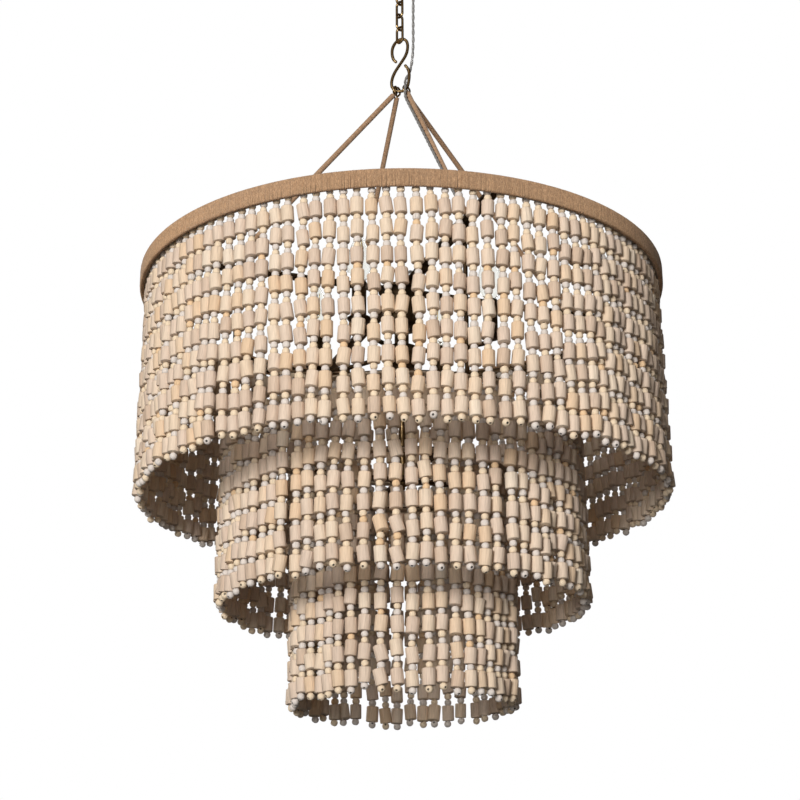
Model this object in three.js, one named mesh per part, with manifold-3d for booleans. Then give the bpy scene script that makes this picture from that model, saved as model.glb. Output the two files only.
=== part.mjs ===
// A three-tier beaded chandelier on a chain, in millimetres, +Z up.
// The origin is the middle of the face that sits on the ceiling. Everything hangs below it.
import * as THREE from "three";
import { mergeVertices } from "three/addons/utils/BufferGeometryUtils.js";
import Module from "manifold-3d";

// Clearances and counts that every piece shares
const seatGap = 0.3;
const aslantSeatGap = 1.8;
const boreGap = 0.3;
const mergeTolerance = 1e-4;
const quarter = Math.PI / 2;

// Ceiling canopy, its bar, nipple, loop and cord bush
const canopyRadius = 62;
const canopyHeight = 26;
const canopyWall = 1.5;
const canopySides = 24;
const canopyProfileShares = [
  [0.5, 1],
  [0.76, 0.84],
  [0.93, 0.52],
  [1, 0.22],
  [1, 0],
];
const crossbarLength = 96;
const crossbarWidth = 16;
const crossbarThickness = 3;
const crossbarBossRadius = 8;
const crossbarBossDepth = 8;
const nippleRadius = 4.8;
const collarRadius = 9;
const collarHeight = 12;
const collarBoreDepth = 8;
const loopRadius = 9;
const loopWire = 4;
const bushPlace = 22;
const bushFlangeRadius = 5;
const bushFlangeHeight = 1.5;
const bushBarrelRadius = 3.4;

// Chain and hook
const linkCount = 5;
const linkWire = 3.3;
const linkInnerLength = 23;
const linkOuterWidth = 16.2;
const chainTurn = Math.PI / 4;
const hookWire = 4.2;
const hookHeight = 93;
const hookUpperRadius = 11.5;
const hookLowerRadius = 13.1;

// Four wrapped rods that carry the frame
const rodRise = 321.3;
const rodRadius = 2;
const rodWrapThickness = 1.5;
const rodWrapBareTop = 4;
const rodWrapBareFoot = 6;
const eyeWire = 2.4;
const eyeInnerRadius = 5;
const eyeSeatGap = 1.3;
const armCount = 4;
const armTurn = THREE.MathUtils.degToRad(20);
const eyeAngles = [24, 43, -12, -31].map(THREE.MathUtils.degToRad);
const eyeHangShare = 0.6;
const rodFootPastHanger = 12;

// Upper hoop: an iron angle ring in a wound jute band
const bandRadius = 381;
const bandHeight = 25;
const bandWrapThickness = 2;
const hoopWall = 2.3;
const flangeReach = 18;
const flangeDrop = 12;
const flangeThickness = 4;
const hoopSides = 60;

// Flat-bar spider inside the upper hoop, and its hangers
const spiderThickness = 4;
const spiderBarWidth = 18;
const spiderHubRadius = 34;
const hangerRadius = 3.1;
const hangerHeadRadius = 4.5;
const hangerHeadHeight = 4;

// Bead strands
const cylinderBeadLength = 21.4;
const cylinderBeadRadius = 8.5;
const ballBeadLength = 8.6;
const topBalls = 2;
const strandInset = 14;
const sectors = 4;
const strandSides = 6;
const headerHeight = 2.4;
const headerWidth = 15.6;
const strandsPerHeaderSide = 2;
const sectorNames = ["front", "right", "back", "left"];
const upperTier = { strandRadius: bandRadius - strandInset, cylinders: 9, leastPitch: 18.5 };
const middleTier = { strandRadius: 249.4, cylinders: 7, leastPitch: 19.4 };
const lowerTier = { strandRadius: 149.1, cylinders: 9, leastPitch: 19.4 };

// Middle and lower hoops
const middleHoopDrop = 231.5;
const lowerHoopDrop = 302.8;
const ringWidth = 8;
const ringHeight = 5;
const middleRingSides = 48;
const lowerRingSides = 36;
const lowerBarWidth = 12;
const lowerBarThickness = 4;
const lowerHubRadius = 18;

// Central stem and finial
const stemRadius = 5;
const stemFlangeRadius = 9;
const stemFlangeHeight = 4;
const stemPastHub = 6;
const finialRadius = 9;
const finialHeight = 12;

// Lamp cluster
const clusterDrop = 114;
const clusterRadius = 28;
const clusterHeight = 34;
const clusterTaper = 5;
const boxRadius = 28.5;
const boxHeight = 56;
const boxNeckRadius = 11;
const lampCount = 4;
const lampTurn = THREE.MathUtils.degToRad(65);
const lampReach = 140;
const lampArmWidth = 8;
const lampArmThickness = 5;
const lampArmRise = 8;
const panRadius = 17;
const panSteps = 14;
const socketRadius = 11;
const socketHeight = 56;
const socketWall = 2.2;
const socketFloor = 22;
const bulbCapRadius = 7;
const bulbRadius = 17.5;
const bulbGlassHeight = 78;
const bulbGlassShares = [
  [0.5, 0],
  [0.72, 0.08],
  [1, 0.32],
  [0.93, 0.5],
  [0.6, 0.74],
  [0.25, 0.92],
];

// Supply cord: a hand-chosen route from inside the canopy to the lamp cluster
const cordRadius = 2;
const cordStep = 13;
const cordRoute = [
  [22, 0, -16],
  [22, 0, -30],
  [22, 0, -61.5],
  [21.3, 0, -107],
  [21, 0, -143.7],
  [20.8, 1, -168],
  [19.9, 3, -186],
  [18.2, 6, -200.8],
  [16, 5.5, -212.3],
  [13.3, 5.9, -220],
  [9.6, 4.2, -228.2],
  [8.1, -1, -236.6],
  [8, -7, -244.4],
  [7.9, -11.6, -254],
  [8, -20.2, -272],
  [12.1, -36.2, -292.8],
  [20.2, -59.6, -324.2],
  [42.4, -123.6, -410.8],
  [68.4, -199.7, -512.9],
  [79.4, -231.9, -556.1],
  [79.6, -237.9, -563.5],
  [79.5, -240.5, -570.3],
  [78.5, -237.4, -578.1],
  [76.1, -230, -581.3],
  [71.4, -218, -581.3],
  [46.6, -142.7, -581.3],
  [20.6, -70, -581.3],
  [17.2, -62, -581.3],
  [11.2, -57.6, -580],
  [3.8, -52.8, -584.9],
  [0.5, -48, -596.5],
  [-0.5, -41.5, -606],
  [-0.5, -30.2, -611],
];
const cordCuts = [0, 2, 3, 8, 16, cordRoute.length - 1];

// Materials
const antiqueBrass = new THREE.MeshStandardMaterial({ color: 0x7d6136, metalness: 0.9, roughness: 0.4 });
const darkBronze = new THREE.MeshStandardMaterial({ color: 0x2e261c, metalness: 0.8, roughness: 0.5 });
const jute = new THREE.MeshStandardMaterial({ color: 0xa9835c, metalness: 0, roughness: 0.95 });
const paleWood = new THREE.MeshStandardMaterial({ color: 0xe2cbb0, metalness: 0, roughness: 0.8 });
const clearCord = new THREE.MeshStandardMaterial({ color: 0xb9b6b0, metalness: 0.1, roughness: 0.35 });
const glass = new THREE.MeshStandardMaterial({ color: 0xf2efe6, metalness: 0, roughness: 0.1 });
const blackPlastic = new THREE.MeshStandardMaterial({ color: 0x1d1b19, metalness: 0, roughness: 0.6 });

// Heights that follow from the sizes above, from the ceiling down
const loopCentreZ = -canopyHeight - seatGap - collarHeight - loopRadius + loopWire / 2;
const linkLength = linkInnerLength + linkWire;
const linkPitch = linkLength - linkWire - seatGap;
const firstLinkTopZ = loopCentreZ - loopRadius + (loopWire + linkWire) / 2 + seatGap;
const lastLinkBottomZ = firstLinkTopZ - linkLength - (linkCount - 1) * linkPitch;
const hookTopZ = lastLinkBottomZ + (linkWire + hookWire) / 2 + aslantSeatGap;
const hookBottomZ = hookTopZ - hookHeight;
const bandTopZ = hookBottomZ - rodRise;
const flangeBottomZ = bandTopZ - flangeDrop - flangeThickness;
const spiderBottomZ = bandTopZ - flangeDrop + seatGap;
const spiderTopZ = spiderBottomZ + spiderThickness;
const middleRingBottomZ = bandTopZ - middleHoopDrop;
const lowerRingBottomZ = bandTopZ - lowerHoopDrop;
const clusterZ = bandTopZ - clusterDrop;
const hoopOuterRadius = bandRadius - bandWrapThickness - boreGap;
const hoopInnerRadius = hoopOuterRadius - hoopWall;

const wasm = await Module();
wasm.setup();

// Solids and geometries

function toSolid(geometry) {
  const bare = geometry.index ? geometry.toNonIndexed() : geometry.clone();
  bare.deleteAttribute("normal");
  bare.deleteAttribute("uv");
  const merged = mergeVertices(bare, mergeTolerance);
  const mesh = new wasm.Mesh({
    numProp: 3,
    vertProperties: merged.attributes.position.array,
    triVerts: merged.index.array,
  });
  return new wasm.Manifold(mesh);
}

function toGeometry(solid) {
  const mesh = solid.getMesh();
  const geometry = new THREE.BufferGeometry();
  geometry.setAttribute("position", new THREE.BufferAttribute(mesh.vertProperties, 3));
  geometry.setIndex(new THREE.BufferAttribute(mesh.triVerts, 1));
  geometry.computeVertexNormals();
  return geometry;
}

function joined(first, ...others) {
  return toGeometry(others.reduce((sum, other) => sum.add(toSolid(other)), toSolid(first)));
}

function cut(body, ...tools) {
  return toGeometry(tools.reduce((rest, tool) => rest.subtract(toSolid(tool)), toSolid(body)));
}

// A profile of [radius, height] points turned about Z, outer side first and upwards
function turned(profile, sides) {
  const points = profile.map(([radius, height]) => new THREE.Vector2(radius, height));
  return new THREE.LatheGeometry(points, sides).rotateX(quarter);
}

function turnedRing(profile, sides) {
  return turned([...profile, profile[0]], sides);
}

function upright(radius, bottomZ, topZ, sides, x = 0, y = 0) {
  const rod = new THREE.CylinderGeometry(radius, radius, topZ - bottomZ, sides);
  return rod.rotateX(quarter).translate(x, y, (bottomZ + topZ) / 2);
}

function polygon(radius, sides) {
  const corners = Array.from({ length: sides }, (_, i) => {
    const angle = (2 * Math.PI * i) / sides;
    return new THREE.Vector2(radius * Math.cos(angle), radius * Math.sin(angle));
  });
  return new THREE.Shape(corners);
}

function tube(curve, radius, sides, steps) {
  return new THREE.ExtrudeGeometry(polygon(radius, sides), { steps, extrudePath: curve, bevelEnabled: false });
}

// A flat bar from the axis outwards along +X
function bar(fromRadius, toRadius, width, bottomZ, topZ) {
  const box = new THREE.BoxGeometry(toRadius - fromRadius, width, topZ - bottomZ);
  return box.translate((fromRadius + toRadius) / 2, 0, (bottomZ + topZ) / 2);
}

// Azimuth 0 is towards the viewer at -Y, and turns towards +X
function around(radius, azimuth, z) {
  return new THREE.Vector3(radius * Math.sin(azimuth), -radius * Math.cos(azimuth), z);
}

const chandelier = new THREE.Group();

function piece(name, geometry, material) {
  const mesh = new THREE.Mesh(geometry, material);
  mesh.name = name;
  chandelier.add(mesh);
  return mesh;
}

// Canopy: a spun dish, open to the ceiling, with a hole for the nipple and one for the cord

function canopyDish() {
  const outside = canopyProfileShares.map(([r, h]) => [r * canopyRadius, -h * canopyHeight]);
  const inside = outside.map(([r, z]) => [r - canopyWall, Math.min(z + canopyWall, 0)]).reverse();
  const hole = nippleRadius + boreGap;
  const dish = [[hole, -canopyHeight], ...outside, ...inside, [hole, canopyWall - canopyHeight]];
  const cordHole = upright(bushBarrelRadius + boreGap, -canopyHeight - canopyWall, 0, 12, bushPlace);
  return cut(turnedRing(dish, canopySides), cordHole);
}
piece("ceiling_canopy", canopyDish(), antiqueBrass);

function crossbar() {
  const plate = bar(-crossbarLength / 2, crossbarLength / 2, crossbarWidth, -crossbarThickness, 0);
  plate.rotateZ(quarter);
  const bossBottom = -crossbarThickness - crossbarBossDepth;
  const boss = upright(crossbarBossRadius, bossBottom, -crossbarThickness / 2, 12);
  const bore = upright(nippleRadius + boreGap, bossBottom - seatGap, -crossbarThickness, 12);
  return cut(joined(plate, boss), bore);
}
piece("canopy_crossbar", crossbar(), darkBronze);

const nippleBottomZ = -canopyHeight - collarBoreDepth;
piece("canopy_nipple", upright(nippleRadius, nippleBottomZ, -crossbarThickness - seatGap, 12), antiqueBrass);

function canopyLoop() {
  const collarTop = -canopyHeight - seatGap;
  const collar = upright(collarRadius, collarTop - collarHeight, collarTop, 16);
  const bore = upright(nippleRadius + boreGap, nippleBottomZ - seatGap, 0, 12);
  const ring = new THREE.TorusGeometry(loopRadius, loopWire / 2, 6, 18);
  ring.rotateX(quarter).rotateZ(chainTurn).translate(0, 0, loopCentreZ);
  return cut(joined(collar, ring), bore);
}
piece("canopy_loop", canopyLoop(), antiqueBrass);

function cordBush() {
  const top = -canopyHeight + 2 * canopyWall;
  const flangeTop = -canopyHeight - seatGap;
  const bore = cordRadius + boreGap;
  const profile = [
    [bore, flangeTop - bushFlangeHeight],
    [bushFlangeRadius, flangeTop - bushFlangeHeight],
    [bushFlangeRadius, flangeTop],
    [bushBarrelRadius, flangeTop],
    [bushBarrelRadius, top],
    [bore, top],
  ];
  return turnedRing(profile, 12).translate(bushPlace, 0, 0);
}
piece("cord_bush", cordBush(), blackPlastic);

// Chain: each link is a closed loop of wire, turned a quarter from the one above it

function chainLink() {
  const sides = 6;
  const endSteps = 6;
  const endRadius = (linkOuterWidth - linkWire) / 2;
  const straight = linkLength - 2 * endRadius;
  const centres = [];
  for (const side of [1, -1]) {
    for (let i = 0; i <= endSteps; i++) {
      const angle = (Math.PI * i) / endSteps;
      const out = new THREE.Vector3(side * Math.cos(angle), 0, side * Math.sin(angle));
      const centre = out.clone().multiplyScalar(endRadius);
      centre.z += (side * straight) / 2;
      centres.push({ centre, out });
    }
  }
  const positions = [];
  for (const { centre, out } of centres) {
    for (let k = 0; k < sides; k++) {
      const angle = (2 * Math.PI * k) / sides;
      const point = centre.clone().addScaledVector(out, (Math.cos(angle) * linkWire) / 2);
      point.y += (Math.sin(angle) * linkWire) / 2;
      positions.push(...point);
    }
  }
  const index = [];
  for (let i = 0; i < centres.length; i++) {
    const here = i * sides;
    const next = ((i + 1) % centres.length) * sides;
    for (let k = 0; k < sides; k++) {
      const turn = (k + 1) % sides;
      index.push(here + k, here + turn, next + k);
      index.push(next + k, here + turn, next + turn);
    }
  }
  const geometry = new THREE.BufferGeometry();
  geometry.setAttribute("position", new THREE.Float32BufferAttribute(positions, 3));
  geometry.setIndex(index);
  geometry.computeVertexNormals();
  return geometry;
}

for (let i = 0; i < linkCount; i++) {
  const link = piece(`chain_link_${i + 1}`, chainLink(), antiqueBrass);
  link.position.z = firstLinkTopZ - linkLength / 2 - i * linkPitch;
  link.rotation.z = chainTurn + (i + 1) * quarter;
}

// Hook: one wire bent in an S, its upper end open to the left and its lower end to the right

function hookArc(centreZ, radius, fromAngle, toAngle, steps) {
  return Array.from({ length: steps + 1 }, (_, i) => {
    const angle = THREE.MathUtils.degToRad(fromAngle + ((toAngle - fromAngle) * i) / steps);
    return new THREE.Vector3(radius * Math.cos(angle), 0, centreZ + radius * Math.sin(angle));
  });
}

function hookPath() {
  const upperZ = hookTopZ - hookUpperRadius;
  const lowerZ = hookBottomZ + hookLowerRadius;
  const tipShares = [
    [-0.6, -2.2],
    [-1.02, -1.2],
  ];
  const upperTip = tipShares.map(([x, z]) => [x * hookUpperRadius, upperZ + z * hookUpperRadius]);
  const waist = [[0, (upperZ + lowerZ) / 2]];
  const lowerTip = tipShares.map(([x, z]) => [-x * hookLowerRadius, lowerZ - z * hookLowerRadius]).reverse();
  const plain = ([x, z]) => new THREE.Vector3(x, 0, z);
  return new THREE.CatmullRomCurve3([
    ...upperTip.map(plain),
    ...hookArc(upperZ, hookUpperRadius, 180, -10, 8),
    ...waist.map(plain),
    ...hookArc(lowerZ, hookLowerRadius, 170, 360, 10),
    ...lowerTip.map(plain),
  ]);
}
piece("s_hook", tube(hookPath(), hookWire / 2, 8, 34), antiqueBrass);

// Rods: each hangs by an eye on the hook and is welded to a bar of the spider

const hangerPlace = middleTier.strandRadius;
const rodFootRadius = hangerPlace + rodFootPastHanger;
const eyeRadius = eyeInnerRadius + eyeWire / 2;
const rodNames = ["front", "right", "back", "left"];
const straightDown = new THREE.Vector3(0, 0, -1);

function rodLine(i) {
  const lowerZ = hookBottomZ + hookLowerRadius;
  const angle = eyeAngles[i];
  const onHook = new THREE.Vector3(Math.sin(angle), 0, -Math.cos(angle)).multiplyScalar(hookLowerRadius);
  onHook.z += lowerZ;
  const lean = rodFootRadius / Math.hypot(rodFootRadius, rodRise);
  const footZ = spiderTopZ + seatGap + rodRadius * lean;
  const foot = around(rodFootRadius, armTurn + i * quarter, footZ);
  const hang = foot.clone().sub(onHook).normalize().lerp(straightDown, eyeHangShare).normalize();
  const hookTangent = new THREE.Vector3(Math.cos(angle), 0, Math.sin(angle));
  const eyeAxis = hookTangent.addScaledVector(hang, -hookTangent.dot(hang)).normalize();
  const eyeCentre = onHook.addScaledVector(hang, eyeInnerRadius - hookWire / 2 - eyeSeatGap);
  const top = eyeCentre.clone().addScaledVector(hang, eyeRadius);
  const along = foot.clone().sub(top).normalize();
  return { foot, along, hang, eyeAxis, eyeCentre, top };
}

function straightTube(from, to, radius, sides) {
  return tube(new THREE.LineCurve3(from, to), radius, sides, 1);
}

for (let i = 0; i < armCount; i++) {
  const { foot, along, hang, eyeAxis, eyeCentre, top } = rodLine(i);
  const eye = new THREE.TorusGeometry(eyeRadius, eyeWire / 2, 6, 14);
  const across = new THREE.Vector3().crossVectors(eyeAxis, hang);
  eye.applyMatrix4(new THREE.Matrix4().makeBasis(hang, across, eyeAxis)).translate(...eyeCentre);
  piece(`suspension_rod_${rodNames[i]}`, joined(eye, straightTube(top, foot, rodRadius, 8)), antiqueBrass);

  const wrapTop = top.clone().addScaledVector(along, rodWrapBareTop);
  const wrapFoot = foot.clone().addScaledVector(along, -rodWrapBareFoot);
  const wrapInner = rodRadius + boreGap;
  const sleeve = straightTube(wrapTop, wrapFoot, wrapInner + rodWrapThickness, 8);
  const bore = straightTube(top, foot, wrapInner, 8);
  piece(`rod_jute_wrap_${rodNames[i]}`, cut(sleeve, bore), jute);
}

// Upper hoop: the strands hang under the inward leg of the iron angle

const flangeInner = hoopInnerRadius - flangeReach;
const ironTopZ = bandTopZ - bandWrapThickness;
const ironBottomZ = bandTopZ - bandHeight + bandWrapThickness;
const ironProfile = [
  [hoopOuterRadius, ironBottomZ],
  [hoopOuterRadius, ironTopZ],
  [hoopInnerRadius, ironTopZ],
  [hoopInnerRadius, flangeBottomZ + flangeThickness],
  [flangeInner, flangeBottomZ + flangeThickness],
  [flangeInner, flangeBottomZ],
  [hoopInnerRadius, flangeBottomZ],
  [hoopInnerRadius, ironBottomZ],
];
piece("upper_hoop", turnedRing(ironProfile, hoopSides), darkBronze);

const bandBottomZ = bandTopZ - bandHeight;
const bandProfile = [
  [hoopInnerRadius, bandBottomZ],
  [bandRadius, bandBottomZ],
  [bandRadius, bandTopZ],
  [hoopInnerRadius, bandTopZ],
  [hoopInnerRadius, ironTopZ + boreGap],
  [hoopOuterRadius + boreGap, ironTopZ + boreGap],
  [hoopOuterRadius + boreGap, ironBottomZ - boreGap],
  [hoopInnerRadius, ironBottomZ - boreGap],
];
piece("upper_hoop_jute_band", turnedRing(bandProfile, hoopSides), jute);

// Spider: four flat bars on the hoop's inward leg, a hub for the stem, and a hole over each hanger

function spider() {
  const hub = upright(spiderHubRadius, spiderBottomZ, spiderTopZ, 20);
  const reach = (hoopInnerRadius - seatGap) * Math.cos(Math.PI / hoopSides) - seatGap;
  const bars = Array.from({ length: armCount }, (_, i) => {
    const arm = bar(0, reach, spiderBarWidth, spiderBottomZ, spiderTopZ);
    return arm.rotateZ(armTurn - quarter + i * quarter);
  });
  const holes = Array.from({ length: armCount }, (_, i) => {
    const { x, y } = around(hangerPlace, armTurn + i * quarter, 0);
    return upright(hangerRadius + boreGap, spiderBottomZ - seatGap, spiderTopZ + seatGap, 12, x, y);
  });
  const stemHole = upright(stemRadius + boreGap, spiderBottomZ - seatGap, spiderTopZ + seatGap, 16);
  return cut(joined(hub, ...bars), stemHole, ...holes);
}
piece("spider", spider(), darkBronze);

const middleRingTopZ = middleRingBottomZ + ringHeight;
for (let i = 0; i < armCount; i++) {
  const headBottom = spiderTopZ + seatGap;
  const headTop = headBottom + hangerHeadHeight;
  const profile = [
    [0, middleRingTopZ + seatGap],
    [hangerRadius, middleRingTopZ + seatGap],
    [hangerRadius, headBottom],
    [hangerHeadRadius, headBottom],
    [hangerHeadRadius, headTop],
    [0, headTop],
  ];
  const hanger = piece(`middle_hoop_hanger_${rodNames[i]}`, turned(profile, 10), darkBronze);
  hanger.position.copy(around(hangerPlace, armTurn + i * quarter, 0));
}

// Middle and lower hoops

function flatRing(strandRadius, bottomZ, sides) {
  const profile = [
    [strandRadius + ringWidth / 2, bottomZ],
    [strandRadius + ringWidth / 2, bottomZ + ringHeight],
    [strandRadius - ringWidth / 2, bottomZ + ringHeight],
    [strandRadius - ringWidth / 2, bottomZ],
  ];
  return turnedRing(profile, sides);
}
piece("middle_hoop", flatRing(middleTier.strandRadius, middleRingBottomZ, middleRingSides), darkBronze);

const lowerBarBottomZ = lowerRingBottomZ + (ringHeight - lowerBarThickness) / 2;
const lowerBarTopZ = lowerBarBottomZ + lowerBarThickness;

function lowerHoop() {
  const ring = flatRing(lowerTier.strandRadius, lowerRingBottomZ, lowerRingSides);
  const hub = upright(lowerHubRadius, lowerBarBottomZ, lowerBarTopZ, 20);
  const bars = Array.from({ length: armCount / 2 }, (_, i) => {
    const half = lowerTier.strandRadius;
    return bar(-half, half, lowerBarWidth, lowerBarBottomZ, lowerBarTopZ).rotateZ(armTurn + i * quarter);
  });
  const stemHole = upright(stemRadius + boreGap, lowerRingBottomZ, lowerBarTopZ + seatGap, 16);
  return cut(joined(ring, hub, ...bars), stemHole);
}
piece("lower_hoop", lowerHoop(), darkBronze);

// Stem: a rod from the spider to the lower hoop, held by its flange above and the finial below

const stemBottomZ = lowerBarBottomZ - stemPastHub;
const stemProfile = [
  [0, stemBottomZ],
  [stemRadius, stemBottomZ],
  [stemRadius, spiderTopZ + seatGap],
  [stemFlangeRadius, spiderTopZ + seatGap],
  [stemFlangeRadius, spiderTopZ + seatGap + stemFlangeHeight],
  [0, spiderTopZ + seatGap + stemFlangeHeight],
];
piece("central_stem", turned(stemProfile, 12), antiqueBrass);

const finialTopZ = lowerBarBottomZ - seatGap;
const finialProfile = [
  [0, finialTopZ - finialHeight],
  [finialRadius / 2, finialTopZ - finialHeight],
  [finialRadius, finialTopZ - finialHeight / 2],
  [finialRadius, finialTopZ],
  [stemRadius + boreGap, finialTopZ],
  [stemRadius + boreGap, stemBottomZ - seatGap],
  [0, stemBottomZ - seatGap],
];
piece("stem_finial", turned(finialProfile, 12), antiqueBrass);

// Lamp cluster: a wiring box under the spider's hub with the arms' turned body below it on the stem, four flat
// arms that end in round pans, candle sockets and bulbs

const clusterTopZ = clusterZ + clusterHeight / 2;
const clusterBottomZ = clusterZ - clusterHeight / 2;
const boxTopZ = spiderBottomZ - seatGap;
const clusterProfile = [
  [clusterRadius - clusterTaper, clusterBottomZ],
  [clusterRadius, clusterBottomZ + clusterTaper],
  [clusterRadius, clusterTopZ - clusterTaper],
  [clusterRadius - clusterTaper, clusterTopZ],
  [boxNeckRadius, clusterTopZ],
  [boxNeckRadius, boxTopZ - boxHeight],
  [boxRadius, boxTopZ - boxHeight],
  [boxRadius, boxTopZ],
  [stemRadius + boreGap, boxTopZ],
  [stemRadius + boreGap, clusterBottomZ],
];
piece("lamp_cluster_body", turnedRing(clusterProfile, 20), darkBronze);

const panTopZ = clusterZ + lampArmRise;
const socketBottomZ = panTopZ + seatGap;
const lampNames = ["front_right", "back_right", "back_left", "front_left"];

function lampArm() {
  const half = lampArmWidth / 2;
  const shoulder = Math.asin(half / panRadius);
  const sweep = 2 * (Math.PI - shoulder);
  const pan = Array.from({ length: panSteps + 1 }, (_, i) => {
    const angle = Math.PI + shoulder + (sweep * i) / panSteps;
    return new THREE.Vector2(lampReach + panRadius * Math.cos(angle), panRadius * Math.sin(angle));
  });
  const start = clusterRadius + seatGap;
  const outline = new THREE.Shape([new THREE.Vector2(start, half), new THREE.Vector2(start, -half), ...pan]);
  const arm = new THREE.ExtrudeGeometry(outline, { depth: lampArmThickness, bevelEnabled: false });
  return arm.translate(0, 0, panTopZ - lampArmThickness);
}

function candleSocket() {
  const bore = socketRadius - socketWall;
  const profile = [
    [0, socketBottomZ],
    [socketRadius, socketBottomZ],
    [socketRadius, socketBottomZ + socketHeight],
    [bore, socketBottomZ + socketHeight],
    [bore, socketBottomZ + socketFloor],
    [0, socketBottomZ + socketFloor],
  ];
  return turned(profile, 12);
}

function bulb() {
  const capBottom = socketBottomZ + socketFloor + seatGap;
  const glassBottom = socketBottomZ + socketHeight + seatGap;
  const glassPoints = bulbGlassShares.map(([r, h]) => [r * bulbRadius, glassBottom + h * bulbGlassHeight]);
  const profile = [
    [0, capBottom],
    [bulbCapRadius, capBottom],
    [bulbCapRadius, glassBottom],
    ...glassPoints,
    [0, glassBottom + bulbGlassHeight],
  ];
  return turned(profile, 12);
}

for (let i = 0; i < lampCount; i++) {
  const azimuth = lampTurn + i * quarter;
  const place = around(lampReach, azimuth, 0);
  piece(`lamp_arm_${lampNames[i]}`, lampArm(), darkBronze).rotation.z = azimuth - quarter;
  piece(`candle_socket_${lampNames[i]}`, candleSocket(), darkBronze).position.copy(place);
  piece(`bulb_${lampNames[i]}`, bulb(), glass).position.copy(place);
}

// Curtains: a strand is a prism of bead radius and of its beads' length. The strands of a sector
// hang from one tape, which is tied under the hoop.

function strandLength(cylinders) {
  const gaps = cylinders - 1;
  const ballsBetween = gaps + Math.floor(gaps / 2);
  return cylinders * cylinderBeadLength + (ballsBetween + topBalls + 1) * ballBeadLength;
}

function headerTape(strandRadius, fromAzimuth, toAzimuth, sides, topZ) {
  const halfSide = (toAzimuth - fromAzimuth) / (2 * sides);
  const outerRadius = (strandRadius + headerWidth / 2) / Math.cos(halfSide);
  const innerRadius = strandRadius - headerWidth / 2;
  const corners = Array.from({ length: sides + 1 }, (_, i) => fromAzimuth + 2 * halfSide * i);
  const outer = corners.map((azimuth) => around(outerRadius, azimuth, 0));
  const inner = corners.map((azimuth) => around(innerRadius, azimuth, 0)).reverse();
  const outline = new THREE.Shape([...outer, ...inner].map(({ x, y }) => new THREE.Vector2(x, y)));
  const tape = new THREE.ExtrudeGeometry(outline, { depth: headerHeight, bevelEnabled: false });
  return tape.translate(0, 0, topZ - headerHeight);
}

function curtainSector(tier, sector, topZ) {
  const { strandRadius, cylinders, leastPitch } = tier;
  const perSector = Math.floor((2 * Math.PI * strandRadius) / (sectors * leastPitch));
  const pitch = (2 * Math.PI) / (sectors * perSector);
  const first = (sector - 0.5) * perSector;
  const endGap = seatGap / 2 / strandRadius;
  const tapeSides = Math.ceil(perSector / strandsPerHeaderSide);
  const fromAzimuth = first * pitch + endGap;
  const toAzimuth = (first + perSector) * pitch - endGap;
  const depth = strandLength(cylinders) - headerHeight / 2;
  const strands = Array.from({ length: perSector }, (_, i) => {
    const azimuth = (first + i + 0.5) * pitch;
    const section = polygon(cylinderBeadRadius, strandSides);
    const strand = new THREE.ExtrudeGeometry(section, { depth, bevelEnabled: false });
    return strand.rotateZ(azimuth).translate(...around(strandRadius, azimuth, topZ - headerHeight / 2 - depth));
  });
  return joined(headerTape(strandRadius, fromAzimuth, toAzimuth, tapeSides, topZ), ...strands);
}

const curtains = [
  ["upper", upperTier, flangeBottomZ - seatGap],
  ["middle", middleTier, middleRingBottomZ - seatGap],
  ["lower", lowerTier, lowerRingBottomZ - seatGap],
];
for (const [tierName, tier, topZ] of curtains) {
  for (let sector = 0; sector < sectors; sector++) {
    piece(`${tierName}_curtain_${sectorNames[sector]}`, curtainSector(tier, sector, topZ), paleWood);
  }
}

// Supply cord: cut where it crosses a joint of the chain, each length face to face with the next

class CordStretch extends THREE.Curve {
  constructor(whole, from, to) {
    super();
    this.whole = whole;
    this.from = from;
    this.to = to;
  }

  getPoint(t, target = new THREE.Vector3()) {
    return this.whole.getPoint(this.from + (this.to - this.from) * t, target);
  }
}

function supplyCord() {
  const route = new THREE.CatmullRomCurve3(cordRoute.map((point) => new THREE.Vector3(...point)));
  const spans = cordRoute.length - 1;
  for (let i = 0; i + 1 < cordCuts.length; i++) {
    const whole = new CordStretch(route, cordCuts[i] / spans, cordCuts[i + 1] / spans);
    const length = whole.getLength();
    const trim = i === 0 ? 0 : seatGap / length;
    const from = whole.from + trim * (whole.to - whole.from);
    const stretch = new CordStretch(route, from, whole.to);
    const steps = Math.ceil(length / cordStep);
    piece(`supply_cord_${i + 1}`, tube(stretch, cordRadius, 8, steps), clearCord);
  }
}
supplyCord();

export default chandelier;
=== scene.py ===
import math

import bmesh
import bpy
import numpy as np
from mathutils import Matrix, Vector


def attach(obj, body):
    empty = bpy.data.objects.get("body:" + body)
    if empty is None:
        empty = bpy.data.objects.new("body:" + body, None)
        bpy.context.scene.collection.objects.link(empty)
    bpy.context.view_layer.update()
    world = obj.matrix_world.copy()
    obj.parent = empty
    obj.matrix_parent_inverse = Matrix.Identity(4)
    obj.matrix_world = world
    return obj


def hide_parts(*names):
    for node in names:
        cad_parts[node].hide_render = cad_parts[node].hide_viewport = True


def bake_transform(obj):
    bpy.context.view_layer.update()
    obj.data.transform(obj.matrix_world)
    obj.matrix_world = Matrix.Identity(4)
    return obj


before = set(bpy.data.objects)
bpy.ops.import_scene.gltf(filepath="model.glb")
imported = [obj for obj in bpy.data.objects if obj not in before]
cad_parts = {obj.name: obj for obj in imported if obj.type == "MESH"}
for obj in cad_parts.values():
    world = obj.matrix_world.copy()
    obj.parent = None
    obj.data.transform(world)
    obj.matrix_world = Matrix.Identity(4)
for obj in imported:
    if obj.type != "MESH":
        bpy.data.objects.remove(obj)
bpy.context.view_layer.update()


# Camera: the chandelier is looked up at with a long lens, from 2.4 m in front of it and 0.4 m below its
# last bead.
camera_place = (-0.003, -2.4055, -1.6035)
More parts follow.
